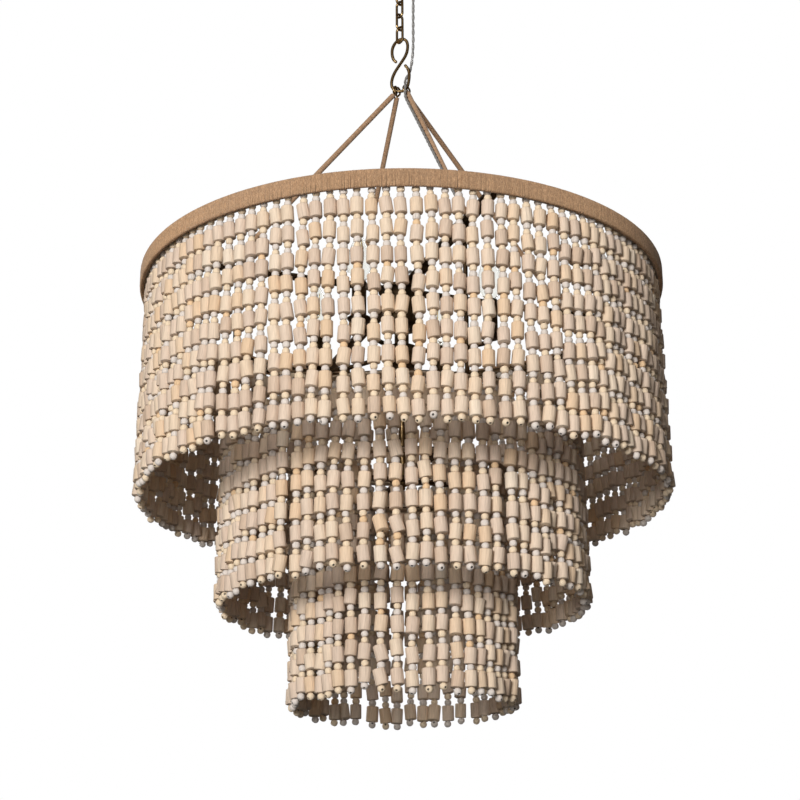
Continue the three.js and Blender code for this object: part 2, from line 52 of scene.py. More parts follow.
camera_pitch = math.radians(109.42)
camera_roll = -0.006
lens_length = 79.65
sensor_width = 36
eye = bpy.data.cameras.new("eye")
eye.lens = lens_length
eye.sensor_width = sensor_width
camera = bpy.data.objects.new("camera", eye)
upwards = Matrix.Rotation(camera_pitch, 4, "X") @ Matrix.Rotation(camera_roll, 4, "Z")
camera.matrix_world = Matrix.Translation(camera_place) @ upwards
bpy.context.scene.collection.objects.link(camera)
bpy.context.scene.camera = camera


# Supply cord: two stranded wires in clear vinyl, twisted round each other. It leaves the canopy through its
# bush, hangs beside the chain, passes through the hook's lower bow, runs down beside the front rod to the
# flat-bar spider and goes in through the top of the lamp cluster.
cord_wire_radius = 0.0015
cord_wire_spread = 0.0008
cord_lay = 0.026
cord_sides = 14
cord_step = 0.0016
vinyl_marks_along = 900
vinyl_marks_across = 4
cord_route = [
    (0.0220, 0.0000, -0.0160), (0.0220, 0.0000, -0.0300), (0.0220, 0.0000, -0.0615),
    (0.0213, 0.0000, -0.1070), (0.0210, 0.0000, -0.1437), (0.0208, 0.0010, -0.1680),
    (0.0199, 0.0030, -0.1860), (0.0182, 0.0060, -0.2008), (0.0160, 0.0055, -0.2123),
    (0.0133, 0.0059, -0.2200), (0.0096, 0.0042, -0.2282), (0.0081, -0.0010, -0.2366),
    (0.0080, -0.0070, -0.2444), (0.0079, -0.0116, -0.2540), (0.0080, -0.0202, -0.2720),
    (0.0121, -0.0362, -0.2928), (0.0202, -0.0596, -0.3242), (0.0424, -0.1236, -0.4108),
    (0.0684, -0.1997, -0.5129), (0.0794, -0.2319, -0.5561), (0.0796, -0.2379, -0.5635),
    (0.0795, -0.2405, -0.5703), (0.0785, -0.2374, -0.5781), (0.0761, -0.2300, -0.5813),
    (0.0714, -0.2180, -0.5813), (0.0466, -0.1427, -0.5813), (0.0206, -0.0700, -0.5813),
    (0.0172, -0.0620, -0.5813), (0.0112, -0.0576, -0.5800), (0.0038, -0.0528, -0.5849),
    (0.0005, -0.0480, -0.5965), (-0.0005, -0.0415, -0.6060), (-0.0005, -0.0279, -0.6123),
]
cord_cuts = [0, 2, 3, 8, 16, len(cord_route) - 1]
cord_bends = [
    ("canopy", "first_link", (0.022, 0, -0.046), (0.022, 0, -0.0615)),
    ("first_link", "chain", (0.022, 0, -0.0615), (0.0213, 0, -0.107)),
    ("chain", "hook", (0.021, 0, -0.1437), (0.0182, 0.006, -0.2008)),
    ("hook", "frame", (0.0079, -0.0116, -0.2540), (0.0202, -0.0596, -0.3242)),
]


def along_route(route, start, end, step):
    """Points about step apart on the smooth curve through the route's points from start to end."""
    given = np.array(route, float)
    ends = np.vstack([2 * given[0] - given[1], given, 2 * given[-1] - given[-2]])
    found = []
    for i in range(start, end):
        p0, p1, p2, p3 = ends[i : i + 4]
        d0, d1, d2 = (np.sqrt(np.linalg.norm(b - a)) for a, b in ((p0, p1), (p1, p2), (p2, p3)))
        t1 = ((p1 - p0) / d0 - (p2 - p0) / (d0 + d1) + (p2 - p1) / d1) * d1
        t2 = ((p2 - p1) / d1 - (p3 - p1) / (d1 + d2) + (p3 - p2) / d2) * d1
        for t in np.linspace(0, 1, 24, endpoint=i == end - 1):
            bend = (2 * p1 - 2 * p2 + t1 + t2) * t**3 + (3 * p2 - 3 * p1 - 2 * t1 - t2) * t**2
            found.append(p1 + t1 * t + bend)
    return evenly(np.array(found), step)


def walked_along(line):
    """The distance from the line's start to each of its points."""
    return np.concatenate([[0], np.cumsum(np.linalg.norm(np.diff(line, axis=0), axis=1))])


def evenly(line, step):
    """The same line with its points about step apart."""
    walked = walked_along(line)
    at = np.linspace(0, walked[-1], max(2, math.ceil(walked[-1] / step) + 1))
    return np.stack([np.interp(at, walked, line[:, k]) for k in range(3)], axis=1)


def sweep(line, section, loop=False, first_normal=None):
    """Vertices and faces of a bar that follows the line. section has each ring's points as (out, across)."""
    ahead = np.roll(line, -1, 0) - np.roll(line, 1, 0) if loop else np.gradient(line, axis=0)
    ahead = ahead / np.linalg.norm(ahead, axis=1)[:, None]
    normal = np.array(first_normal if first_normal is not None else Vector(ahead[0]).orthogonal(), float)
    out = []
    for t in ahead:
        normal = normal - t * (normal @ t)
        normal = normal / np.linalg.norm(normal)
        out.append(normal)
    out = np.array(out)
    across = np.cross(ahead, out)
    section = np.broadcast_to(section, (len(line),) + np.shape(section)[-2:])
    rings = line[:, None] + section[..., :1] * out[:, None] + section[..., 1:] * across[:, None]
    count, size = rings.shape[:2]
    faces = []
    for i in range(count if loop else count - 1):
        here, there = i * size, (i + 1) % count * size
        for k in range(size):
            turn = (k + 1) % size
            faces.append((here + k, here + turn, there + turn, there + k))
    if not loop:
        faces.append(tuple(range(size))[::-1])
        faces.append(tuple(range((count - 1) * size, count * size)))
    return rings.reshape(-1, 3), faces


def circle(radius, sides):
    """Points round a flat circle."""
    angles = np.arange(sides) * 2 * math.pi / sides
    return radius * np.stack([np.cos(angles), np.sin(angles)], axis=1)


def new_piece(name, vertices, faces, material, sharp=None):
    """A mesh object at the origin, shaded smooth but for edges sharper than that angle in degrees."""
    mesh = bpy.data.meshes.new(name)
    mesh.from_pydata([tuple(map(float, v)) for v in vertices], [], [tuple(f) for f in faces])
    mesh.materials.append(material)
    mesh.shade_smooth()
    if sharp:
        mesh.set_sharp_from_angle(angle=math.radians(sharp))
    made = bpy.data.objects.new(name, mesh)
    bpy.context.scene.collection.objects.link(made)
    return made


def mark_places(piece, name, places):
    """Keeps a place for each vertex, which the finish reads."""
    kept = piece.data.attributes.new(name, "FLOAT_VECTOR", "POINT")
    kept.data.foreach_set("vector", np.asarray(places, np.float32).ravel())


def add(tree, kind, inputs=None, **settings):
    """A new node, with its settings made and its inputs linked or set."""
    made = tree.nodes.new(kind)
    for key, value in settings.items():
        setattr(made, key, value)
    for key, value in (inputs or {}).items():
        if isinstance(value, bpy.types.NodeSocket):
            tree.links.new(value, made.inputs[key])
        else:
            made.inputs[key].default_value = value
    return made


def finish_of(name, **plain):
    """A material with its surface node's plain inputs set, its tree and that node."""
    material = bpy.data.materials.new(name)
    material.use_nodes = True
    surface = material.node_tree.nodes["Principled BSDF"]
    for key, value in plain.items():
        surface.inputs[key.replace("_", " ")].default_value = value
    return material, material.node_tree, surface


def colour_steps(tree, factor, *steps, between="LINEAR"):
    """A colour ramp from (place, red, green, blue) steps."""
    ramp = add(tree, "ShaderNodeValToRGB", {"Fac": factor})
    ramp.color_ramp.interpolation = between
    for i, (place, *colour) in enumerate(steps):
        stop = ramp.color_ramp.elements[i] if i < 2 else ramp.color_ramp.elements.new(place)
        stop.position = place
        stop.color = (*colour, 1)
    return ramp.outputs["Color"]


def colour_by(tree, surface, factor, *steps):
    """Colours the surface by a ramp on the factor."""
    tree.links.new(colour_steps(tree, factor, *steps), surface.inputs["Base Color"])


def bump_by(tree, surface, height, strength, depth):
    """Gives the surface a fine relief of that height."""
    relief = add(tree, "ShaderNodeBump", {"Height": height, "Strength": strength, "Distance": depth})
    tree.links.new(relief.outputs["Normal"], surface.inputs["Normal"])


clear_vinyl, tree, surface = finish_of("clear_vinyl", Metallic=0.2, Roughness=0.32, Coat_Weight=0.3)
strands = add(tree, "ShaderNodeAttribute", attribute_name="cord_at").outputs["Vector"]
weave = add(tree, "ShaderNodeTexWave", {"Vector": strands, "Scale": 2.0, "Distortion": 0.8, "Detail": 1.0})
wire_greys = [(0.1, 0.24, 0.235, 0.23), (0.6, 0.34, 0.335, 0.33), (1, 0.46, 0.455, 0.44)]
colour_by(tree, surface, weave.outputs["Fac"], *wire_greys)
bump_by(tree, surface, weave.outputs["Fac"], 0.25, 0.0004)

ring_angles = np.arange(cord_sides) * 2 * math.pi / cord_sides
inside = np.maximum(cord_wire_radius**2 - (cord_wire_spread * np.sin(ring_angles)) ** 2, 0)
reach = cord_wire_spread * np.abs(np.cos(ring_angles)) + np.sqrt(inside)
for n, (start, end) in enumerate(zip(cord_cuts, cord_cuts[1:]), 1):
    line = along_route(cord_route, start, end, cord_step)
    walked = walked_along(line)
    turned_by = ring_angles[None, :] + 2 * math.pi * (walked / cord_lay)[:, None]
    rings = np.stack([reach * np.cos(turned_by), reach * np.sin(turned_by)], axis=2)
    cord = new_piece(f"twisted_cord_{n}", *sweep(line, rings), clear_vinyl)
    along = np.repeat(walked, cord_sides) * vinyl_marks_along
    across = np.tile(np.abs(np.cos(ring_angles)), len(line)) * vinyl_marks_across
    mark_places(cord, "cord_at", np.column_stack([along, across, np.zeros(len(along))]))
    if n <= len(cord_bends):
        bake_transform(cord)
    else:
        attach(cord, "frame")
    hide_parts(f"supply_cord_{n}")


# Ceiling canopy: a spun brass dish, open to the ceiling, with a rolled rim and a raised step round its
# middle. The nipple and the loop's collar clamp it against the bar that is screwed to the ceiling box.
canopy_height = 0.026
canopy_wall = 0.0015
canopy_bore = 0.0052
canopy_rim_radius = 0.0608
canopy_rim_wire = 0.0011
canopy_rim_middle = -0.0012
on_axis = 1e-7
canopy_curve = [
    (canopy_bore, -canopy_height), (0.0140, -0.0260), (0.0165, -0.0252), (0.0180, -0.0243),
    (0.0240, -0.0240), (0.0360, -0.0228), (0.0460, -0.0202), (0.0535, -0.0160), (0.0580, -0.0108),
    (0.0600, -0.0062), (0.0605, -0.0042), (0.0618, -0.0030), (0.0620, -0.0014), (0.0612, 0),
]


def lathe(profile, sides, centre=(0, 0, 0)):
    """Vertices and faces of a closed outline of (radius, height) points turned about the upright axis.
    The outline goes up its outer side. A point at no radius is one vertex."""
    vertices, rings = [], []
    for radius, height in profile:
        if radius < on_axis:
            rings.append([len(vertices)] * sides)
            vertices.append((centre[0], centre[1], centre[2] + height))
            continue
        rings.append(list(range(len(vertices), len(vertices) + sides)))
        for x, y in circle(radius, sides):
            vertices.append((centre[0] + x, centre[1] + y, centre[2] + height))
    faces = []
    for low, high in zip(rings, rings[1:] + rings[:1]):
        if low[0] == low[1] and high[0] == high[1]:
            continue
        for k in range(sides):
            turn = (k + 1) % sides
            corners = (low[k], low[turn], high[turn], high[k])
            faces.append(tuple(dict.fromkeys(corners)))
    return vertices, faces


def eased(outline, radius, steps=3):
    """A closed outline with each corner rounded. Points on the axis stay as they are."""
    points = np.array(outline, float)
    made = []
    for i, here in enumerate(points):
        before, after = points[i - 1], points[(i + 1) % len(points)]
        back, on = before - here, after - here
        reach = min(radius, 0.45 * np.linalg.norm(back), 0.45 * np.linalg.norm(on))
        if here[0] < on_axis or reach < on_axis:
            made.append(tuple(here))
            continue
        a = here + reach * back / np.linalg.norm(back)
        b = here + reach * on / np.linalg.norm(on)
        for t in np.linspace(0, 1, steps + 1):
            made.append(tuple((1 - t) ** 2 * a + 2 * t * (1 - t) * here + t**2 * b))
    return made


def ranged(tree, value, low, high, at_low, at_high):
    """A value's range from low to high, spread over another range."""
    spread = {"Value": value, 1: low, 2: high, 3: at_low, 4: at_high}
    return add(tree, "ShaderNodeMapRange", spread).outputs["Result"]


def metal(name, worn, dark, roughness):
    """A patinated metal: worn and glossy where it is rubbed, dark and dull elsewhere, with small pits."""
    material, tree, surface = finish_of(name, Metallic=1.0)
    spot = add(tree, "ShaderNodeTexCoord").outputs["Object"]
    patina = {"Vector": spot, "Scale": 60.0, "Detail": 6.0, "Roughness": 0.62}
    clouds = add(tree, "ShaderNodeTexNoise", patina).outputs["Fac"]
    pits = add(tree, "ShaderNodeTexNoise", {"Vector": spot, "Scale": 840.0, "Detail": 3.0}).outputs["Fac"]
    middle = [(a + b) / 2 for a, b in zip(worn, dark)]
    colour_by(tree, surface, clouds, (0.32, *dark), (0.52, *middle), (0.72, *worn))
    gloss = ranged(tree, clouds, 0.3, 0.7, roughness + 0.14, roughness - 0.08)
    tree.links.new(gloss, surface.inputs["Roughness"])
    bump_by(tree, surface, pits, 0.18, 0.0003)
    return material


antique_brass = metal("antique_brass", (0.46, 0.32, 0.16), (0.15, 0.095, 0.042), 0.35)
dark_bronze = metal("dark_bronze", (0.20, 0.135, 0.075), (0.07, 0.046, 0.027), 0.46)

inner_curve = [(r - canopy_wall, z + canopy_wall) for r, z in canopy_curve[1:-1]] + [(0.0604, 0)]
canopy_outline = [*canopy_curve, *inner_curve[::-1], (canopy_bore, canopy_wall - canopy_height)]
canopy = new_piece("canopy_dish", *lathe(canopy_outline, 96), antique_brass, 40)
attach(canopy, "canopy")
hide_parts("ceiling_canopy")

rim_line = np.column_stack([circle(canopy_rim_radius, 96), np.full(96, canopy_rim_middle)])
rim_curl = sweep(rim_line, circle(canopy_rim_wire, 8), loop=True, first_normal=(1, 0, 0))
canopy_rim = new_piece("canopy_rolled_rim", *rim_curl, antique_brass)
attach(canopy_rim, "canopy")


# Canopy bar: a stamped steel strap with a slot near each end for the ceiling box's screws, and a threaded
# boss in its middle that takes the nipple.
bar_length = 0.096
bar_width = 0.016
bar_thickness = 0.003
bar_bore = 0.0051
bar_slot_place = 0.036
bar_slot_length = 0.008
bar_slot_radius = 0.0026
boss_radius = 0.008
boss_depth = 0.008


def flat_plate(name, outlines, bottom, top, material, ease=0.0004):
    """A plate with its outline, and its holes after it, in (x, y). Its edges are eased."""
    shape = bpy.data.curves.new(name + "_outline", "CURVE")
    shape.dimensions = "2D"
    shape.fill_mode = "BOTH"
    shape.bevel_depth = ease
    shape.bevel_resolution = 1
    shape.offset = -ease
    shape.extrude = (top - bottom) / 2 - ease
    for outline in outlines:
        spline = shape.splines.new("POLY")
        spline.points.add(len(outline) - 1)
        for point, (x, y) in zip(spline.points, outline):
            point.co = (x, y, 0, 1)
        spline.use_cyclic_u = True
    drawn = bpy.data.objects.new(name + "_outline", shape)
    bpy.context.scene.collection.objects.link(drawn)
    depsgraph = bpy.context.evaluated_depsgraph_get()
    mesh = bpy.data.meshes.new_from_object(drawn.evaluated_get(depsgraph))
    mesh.transform(Matrix.Translation((0, 0, (bottom + top) / 2)))
    bpy.data.objects.remove(drawn)
    bpy.data.curves.remove(shape)
    shell = bmesh.new()
    shell.from_mesh(mesh)
    bmesh.ops.remove_doubles(shell, verts=shell.verts, dist=1e-6)
    bmesh.ops.recalc_face_normals(shell, faces=shell.faces)
    shell.to_mesh(mesh)
    shell.free()
    mesh.name = name
    mesh.materials.clear()
    mesh.materials.append(material)
    mesh.shade_smooth()
    mesh.set_sharp_from_angle(angle=math.radians(35))
    made = bpy.data.objects.new(name, mesh)
    bpy.context.scene.collection.objects.link(made)
    return made


def slot_outline(x, y, length, radius, steps=8):
    """A slot along Y with round ends."""
    ends = []
    for side in (1, -1):
        for a in np.linspace(0, math.pi, steps):
            ends.append((x + side * radius * math.cos(a), y + side * (length / 2 + radius * math.sin(a))))
    return ends


zinc_steel = metal("zinc_steel", (0.4, 0.39, 0.37), (0.2, 0.19, 0.18), 0.42)
strap = slot_outline(0, 0, bar_length - bar_width, bar_width / 2, 12)
bar_holes = [slot_outline(0, side * bar_slot_place, bar_slot_length, bar_slot_radius) for side in (1, -1)]
bar = flat_plate("canopy_bar", [strap, *bar_holes, circle(bar_bore, 24)], -bar_thickness, 0, zinc_steel)
boss_bottom = -bar_thickness - boss_depth
boss_corners = [(bar_bore, boss_bottom), (boss_radius, boss_bottom)]
boss_corners += [(boss_radius, -bar_thickness), (bar_bore, -bar_thickness)]
boss = new_piece("canopy_bar_boss", *lathe(eased(boss_corners, 0.0005), 40), zinc_steel, 40)
for strap_piece in (bar, boss):
    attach(strap_piece, "canopy")
    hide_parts("canopy_crossbar")


# Nipple: a length of threaded brass tube, with a thread that a lock nut could run on.
nipple_radius = 0.0048
nipple_top = -0.0033
nipple_bottom = -0.034
thread_pitch = 0.0011
thread_depth = 0.00045


def threaded(radius, bottom, top, pitch, depth):
    """The outline of a rod with a ridge at each turn of its thread."""
    outline = [(0, bottom), (radius - depth, bottom)]
    for i in range(int((top - bottom) / pitch)):
        outline.append((radius, bottom + (i + 0.35) * pitch))
        outline.append((radius - depth, bottom + (i + 0.85) * pitch))
    return [*outline, (radius - depth, top), (0, top)]


nipple_outline = threaded(nipple_radius, nipple_bottom, nipple_top, thread_pitch, thread_depth)
nipple = new_piece("canopy_nipple_thread", *lathe(nipple_outline, 28), antique_brass, 30)
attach(nipple, "canopy")
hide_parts("canopy_nipple")


# Canopy loop: a cast brass ring on a collar with a waist and a bead, screwed onto the nipple from below.
collar_top = -0.0263
collar_height = 0.012
loop_centre = -0.0453
loop_radius = 0.009
loop_wire = 0.002
loop_turn = math.radians(45)
collar_outline = [
    (0.0051, 0), (0.0051, -0.0078), (0, -0.0078), (0, -collar_height), (0.0040, -collar_height),
    (0.0048, -0.0108), (0.0050, -0.0098), (0.0066, -0.0088), (0.0082, -0.0078), (0.0088, -0.0066),
    (0.0082, -0.0054), (0.0076, -0.0046), (0.0090, -0.0036), (0.0090, -0.0008), (0.0086, 0),
]
collar = new_piece("canopy_loop_collar", *lathe(collar_outline, 48, (0, 0, collar_top)), antique_brass, 50)

side_of_loop = (-math.sin(loop_turn), math.cos(loop_turn), 0)
flat, high = circle(loop_radius, 48).T
loop_line = np.column_stack([flat * math.cos(loop_turn), flat * math.sin(loop_turn), loop_centre + high])
loop_mesh = sweep(loop_line, circle(loop_wire, 12), loop=True, first_normal=side_of_loop)
loop_ring = new_piece("canopy_loop_ring", *loop_mesh, antique_brass)
for loop_piece in (collar, loop_ring):
    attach(loop_piece, "canopy")
    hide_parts("canopy_loop")


# Cord bush: a moulded black strain relief with a flange under the canopy and a ribbed, tapering sleeve,
# which keeps the cord from chafing on the brass.
bush_x = 0.022
bush_bore = 0.00225
bush_top = -0.023
bush_flange = -0.0263
bush_bottom = bush_flange - 0.02
bush_ribs = 6
bush_rib_pitch = 0.0029
bush_outline = [(bush_bore, bush_top), (bush_bore, bush_bottom), (0.0027, bush_bottom)]
for i in range(bush_ribs):
    rib = bush_bottom + 0.0012 + i * bush_rib_pitch
    bush_outline += [(0.0028 + i * 0.00015, rib), (0.0032 + i * 0.00018, rib + 0.0008)]
    bush_outline += [(0.0032 + i * 0.00018, rib + 0.0016), (0.0029 + i * 0.00015, rib + 0.0022)]
bush_outline += [
    (0.0040, bush_flange - 0.0017), (0.0048, bush_flange - 0.0013), (0.0050, bush_flange - 0.0006),
    (0.0048, bush_flange), (0.0034, bush_flange), (0.0034, bush_top),
]
black_rubber, tree, surface = finish_of("black_rubber", Roughness=0.55)
spot = add(tree, "ShaderNodeTexCoord").outputs["Object"]
grain = add(tree, "ShaderNodeTexNoise", {"Vector": spot, "Scale": 900.0, "Detail": 3.0})
colour_by(tree, surface, grain.outputs["Fac"], (0.3, 0.012, 0.011, 0.01), (0.7, 0.03, 0.028, 0.026))
bush = new_piece("cord_bush_sleeve", *lathe(bush_outline, 32, (bush_x, 0, 0)), black_rubber, 50)
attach(bush, "canopy")
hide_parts("cord_bush")


# Chain: five oval links of round brass wire, butted and soldered, each turned a quarter from the one above.
link_wire = 0.002
link_inner_length = 0.023
link_outer_width = 0.0162
link_gap = 0.0003
first_link_top = loop_centre - loop_radius + loop_wire + link_wire + link_gap
link_pitch = link_inner_length - link_gap
link_bodies = ["first_link", "chain", "chain", "chain", "chain"]


def oval_link(middle_z, turn):
    """The middle line of a link, of two half rings and two straight sides, upright at that azimuth."""
    end_radius = link_outer_width / 2 - link_wire
    half_side = (link_inner_length + 2 * link_wire) / 2 - end_radius
    line = []
    for side in (1, -1):
        for a in np.linspace(0, math.pi, 15):
            line.append((side * end_radius * math.cos(a), side * (half_side + end_radius * math.sin(a))))
        for t in (0.25, 0.5, 0.75):
            line.append((-side * end_radius, side * half_side * (1 - 2 * t)))
    return np.array([(x * math.cos(turn), x * math.sin(turn), middle_z + z) for x, z in line])


for n, body in enumerate(link_bodies):
    turn = loop_turn + (n + 1) * math.pi / 2
    middle = first_link_top - (link_inner_length + 2 * link_wire) / 2 - n * link_pitch
    face_on = (-math.sin(turn), math.cos(turn), 0)
    ring = sweep(oval_link(middle, turn), circle(link_wire, 12), loop=True, first_normal=face_on)
    link = new_piece(f"chain_ring_{n + 1}", *ring, antique_brass)
    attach(link, body)
    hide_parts(f"chain_link_{n + 1}")


# Hook: one brass wire bent in an S, with filed round tips. Its upper bow opens to the left and holds the
# chain, and its lower bow opens to the right and holds the four rods' eyes.
hook_wire = 0.0024
hook_step = 0.0016
hook_route = [
    (-6.4, -201.5), (-9.3, -198.4), (-11.4, -192.0), (-12.0, -185.0), (-11.1, -177.5),
    (-8.2, -170.6), (-4.0, -165.2), (0.6, -162.3), (5.6, -161.6), (9.7, -164.2), (11.8, -169.6),
    (12.1, -176.4), (10.9, -184.4), (7.9, -192.6), (3.0, -201.4), (-3.0, -211.4), (-8.2, -220.8),
    (-11.8, -230.8), (-13.0, -240.2), (-11.5, -247.0), (-7.0, -251.6), (-0.8, -252.9),
    (5.4, -251.8), (10.0, -247.3), (12.4, -240.4), (13.9, -231.0), (14.2, -222.8), (12.6, -214.8),
    (8.6, -208.4),
]
hook_bottom = -0.2529
hook_lower_radius = 0.0131
lower_bow = hook_bottom + hook_lower_radius


def round_ended(line, radius, sides, first_normal=None):
    """A wire along the line with a half ball at each end."""
    cap_angles = (1.3, 0.9, 0.45)
    for _ in range(2):
        line = line[::-1]
        out = (line[0] - line[1]) / np.linalg.norm(line[0] - line[1])
        caps = [line[0] + out * radius * math.sin(a) for a in cap_angles]
        line = np.vstack([caps, line])
    sizes = np.full(len(line), radius)
    for i, a in enumerate(cap_angles):
        sizes[i] = sizes[-1 - i] = radius * math.cos(a)
    section = sizes[:, None, None] * circle(1, sides)
    return sweep(line, section, first_normal=first_normal)


hook_points = [(x / 1000, 0, z / 1000) for x, z in hook_route]
hook_line = along_route(hook_points, 0, len(hook_points) - 1, hook_step)
hook = new_piece("hook_wire", *round_ended(hook_line, hook_wire, 14, (0, 1, 0)), antique_brass)
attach(hook, "hook")
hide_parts("s_hook")


# Rods: four brass rods. The upper end of each is drawn thinner and bent into an eye that hangs on the
# hook's lower bow. The foot is brazed to a bar of the spider inside the hoop.
rod_radius = 0.002
rod_neck_radius = 0.0017
eye_wire = 0.0016
eye_inner_radius = 0.0048
eye_drop = 0.0014
eye_lean = 0.4
eye_steps = 30
eye_turns = [math.radians(a) for a in (30, 32, 32, 22)]
eye_angles = [math.radians(a) for a in (51, 37, -17, -33)]
arm_turn = math.radians(20)
band_top = -0.5762
spider_top = -0.5839
rod_foot_radius = 0.2614
seat_gap = 0.0003
directions = ["front", "right", "back", "left"]


def around(radius, azimuth, z=0.0):
    """A point at that azimuth: 0 is towards the viewer, a quarter turn is to the right."""
    return np.array([radius * math.sin(azimuth), -radius * math.cos(azimuth), z])


def unit(vector):
    """The vector at a length of one."""
    return vector / np.linalg.norm(vector)


def rod_places(n):
    """The rod's foot, the top of its straight part, its eye's middle and axis, and how the eye hangs."""
    angle = eye_angles[n]
    on_hook = np.array([math.sin(angle), 0, -math.cos(angle)]) * hook_lower_radius + (0, 0, lower_bow)
    rise = hook_bottom - band_top
    lean = rod_foot_radius / math.hypot(rod_foot_radius, rise)
    foot = around(rod_foot_radius, arm_turn + n * math.pi / 2, spider_top + seat_gap + rod_radius * lean)
    hang = unit(eye_lean * unit(foot - on_hook) + (1 - eye_lean) * np.array([0, 0, -1]))
    tangent = np.array([math.cos(angle), 0, math.sin(angle)])
    eye_axis = unit(tangent - hang * (tangent @ hang))
    eye_axis = np.array(Matrix.Rotation(eye_turns[n], 3, Vector(hang)) @ Vector(eye_axis))
    middle = on_hook + hang * eye_drop
    top = middle + hang * (eye_inner_radius + eye_wire)
    return foot, top, middle, eye_axis, hang


for n, side in enumerate(directions):
    foot, top, middle, eye_axis, hang = rod_places(n)
    ring_radius = eye_inner_radius + eye_wire
    across = np.cross(eye_axis, hang)
    turns = np.radians(np.linspace(0, 345, eye_steps))
    ring = [middle + ring_radius * (math.cos(a) * hang + math.sin(a) * across) for a in turns]
    straight = [foot + (top - foot) * t for t in np.linspace(0, 1, 12)[:-1]]
    line = np.array(straight + ring)
    sizes = np.array([rod_radius] * 10 + [rod_neck_radius] + [eye_wire] * eye_steps)
    rod = new_piece(
        f"rod_{side}",
        *sweep(line, sizes[:, None, None] * circle(1, 12), first_normal=eye_axis),
        antique_brass,
    )
    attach(rod, "frame")
    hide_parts(f"suspension_rod_{side}")


# Rod wraps: brown jute yarn wound tight round each rod from just below its eye to just above its foot,
# and glued. Each wrap is one yarn.
wrap_radius = 0.0041
wrap_yarn = 0.00075
wrap_pitch = 0.0014
wrap_bare_top = 0.0028
wrap_bare_foot = 0.006
wrap_steps = 12
yarn_sides = 6
yarn_marks_round = 5


def moved_by(tree, place, tone, far):
    """The place moved by the tone, so that no two yarns or beads show the same figure."""
    shift = add(tree, "ShaderNodeCombineXYZ", {"X": tone, "Y": tone, "Z": tone}).outputs[0]
    apart = add(tree, "ShaderNodeVectorMath", {0: shift, "Scale": far}, operation="SCALE").outputs[0]
    return add(tree, "ShaderNodeVectorMath", {0: place, 1: apart}, operation="ADD").outputs[0]


def shaded_by(tree, surface, colour, *levels):
    """Colours the surface, made lighter or darker by each of the levels."""
    level = levels[0]
    for other in levels[1:]:
        level = add(tree, "ShaderNodeMath", {0: level, 1: other}, operation="MULTIPLY").outputs[0]
    shaded = add(tree, "ShaderNodeVectorMath", {0: colour, "Scale": level}, operation="SCALE")
    tree.links.new(shaded.outputs[0], surface.inputs["Base Color"])


def jute_yarn(name, dark, middle, light, scale):
    """Twisted bast fibre: streaks along the yarn, pale flecks, and stray fibres that catch the light."""
    material, tree, surface = finish_of(name, Roughness=0.92, Sheen_Weight=0.25, Sheen_Roughness=0.5)
    place = add(tree, "ShaderNodeAttribute", attribute_name="local_at").outputs["Vector"]
    tone = add(tree, "ShaderNodeAttribute", attribute_name="tone").outputs["Fac"]
    moved = moved_by(tree, place, tone, 61.0)
    twist = {"Vector": moved, "Scale": scale, "Detail": 5.0, "Roughness": 0.65}
    fibres = add(tree, "ShaderNodeTexNoise", twist).outputs["Fac"]
    flecks = add(tree, "ShaderNodeTexNoise", {"Vector": moved, "Scale": scale * 0.35, "Detail": 2.0})
    colour = colour_steps(tree, fibres, (0.3, *dark), (0.5, *middle), (0.72, *light))
    lift = ranged(tree, flecks.outputs["Fac"], 0.35, 0.65, 0.84, 1.14)
    shaded_by(tree, surface, colour, lift, ranged(tree, tone, 0, 1, 0.93, 1.07))
    bump_by(tree, surface, fibres, 0.5, 0.0004)
    return material


def mark_yarn(piece, walked, marks_along, apart=0.0):
    """Keeps each vertex's place round and along its yarn for the finish."""
    round_yarn = np.tile(np.arange(yarn_sides) / yarn_sides * yarn_marks_round, len(walked))
    along = np.repeat(walked * marks_along, yarn_sides)
    mark_places(piece, "local_at", np.column_stack([round_yarn, along, np.full(len(along), apart)]))


rod_jute = jute_yarn("rod_jute", (0.22, 0.125, 0.065), (0.42, 0.255, 0.145), (0.58, 0.39, 0.235), 1.6)
for n, side in enumerate(directions):
    foot, top, middle, eye_axis, hang = rod_places(n)
    along = unit(foot - top)
    start, end = top + along * wrap_bare_top, foot - along * wrap_bare_foot
    length = np.linalg.norm(end - start)
    out = unit(np.cross(along, (0, 0, 1)))
    side_way = np.cross(along, out)
    count = int(length / wrap_pitch)
    angles = np.linspace(0, count * 2 * math.pi, count * wrap_steps)
    centre = start + np.outer(angles / angles[-1] * length, along)
    reach = wrap_radius - wrap_yarn
    helix = centre + reach * (np.outer(np.cos(angles), out) + np.outer(np.sin(angles), side_way))
    yarn = sweep(helix, circle(wrap_yarn, yarn_sides), first_normal=out)
    wrap = new_piece(f"rod_wrap_{side}", *yarn, rod_jute)
    mark_yarn(wrap, angles * reach, 90, n * 7.0)
    tones = wrap.data.attributes.new("tone", "FLOAT", "POINT")
    tones.data.foreach_set("value", np.full(len(wrap.data.vertices), 0.5, np.float32))
    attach(wrap, "frame")
    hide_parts(f"rod_jute_wrap_{side}")


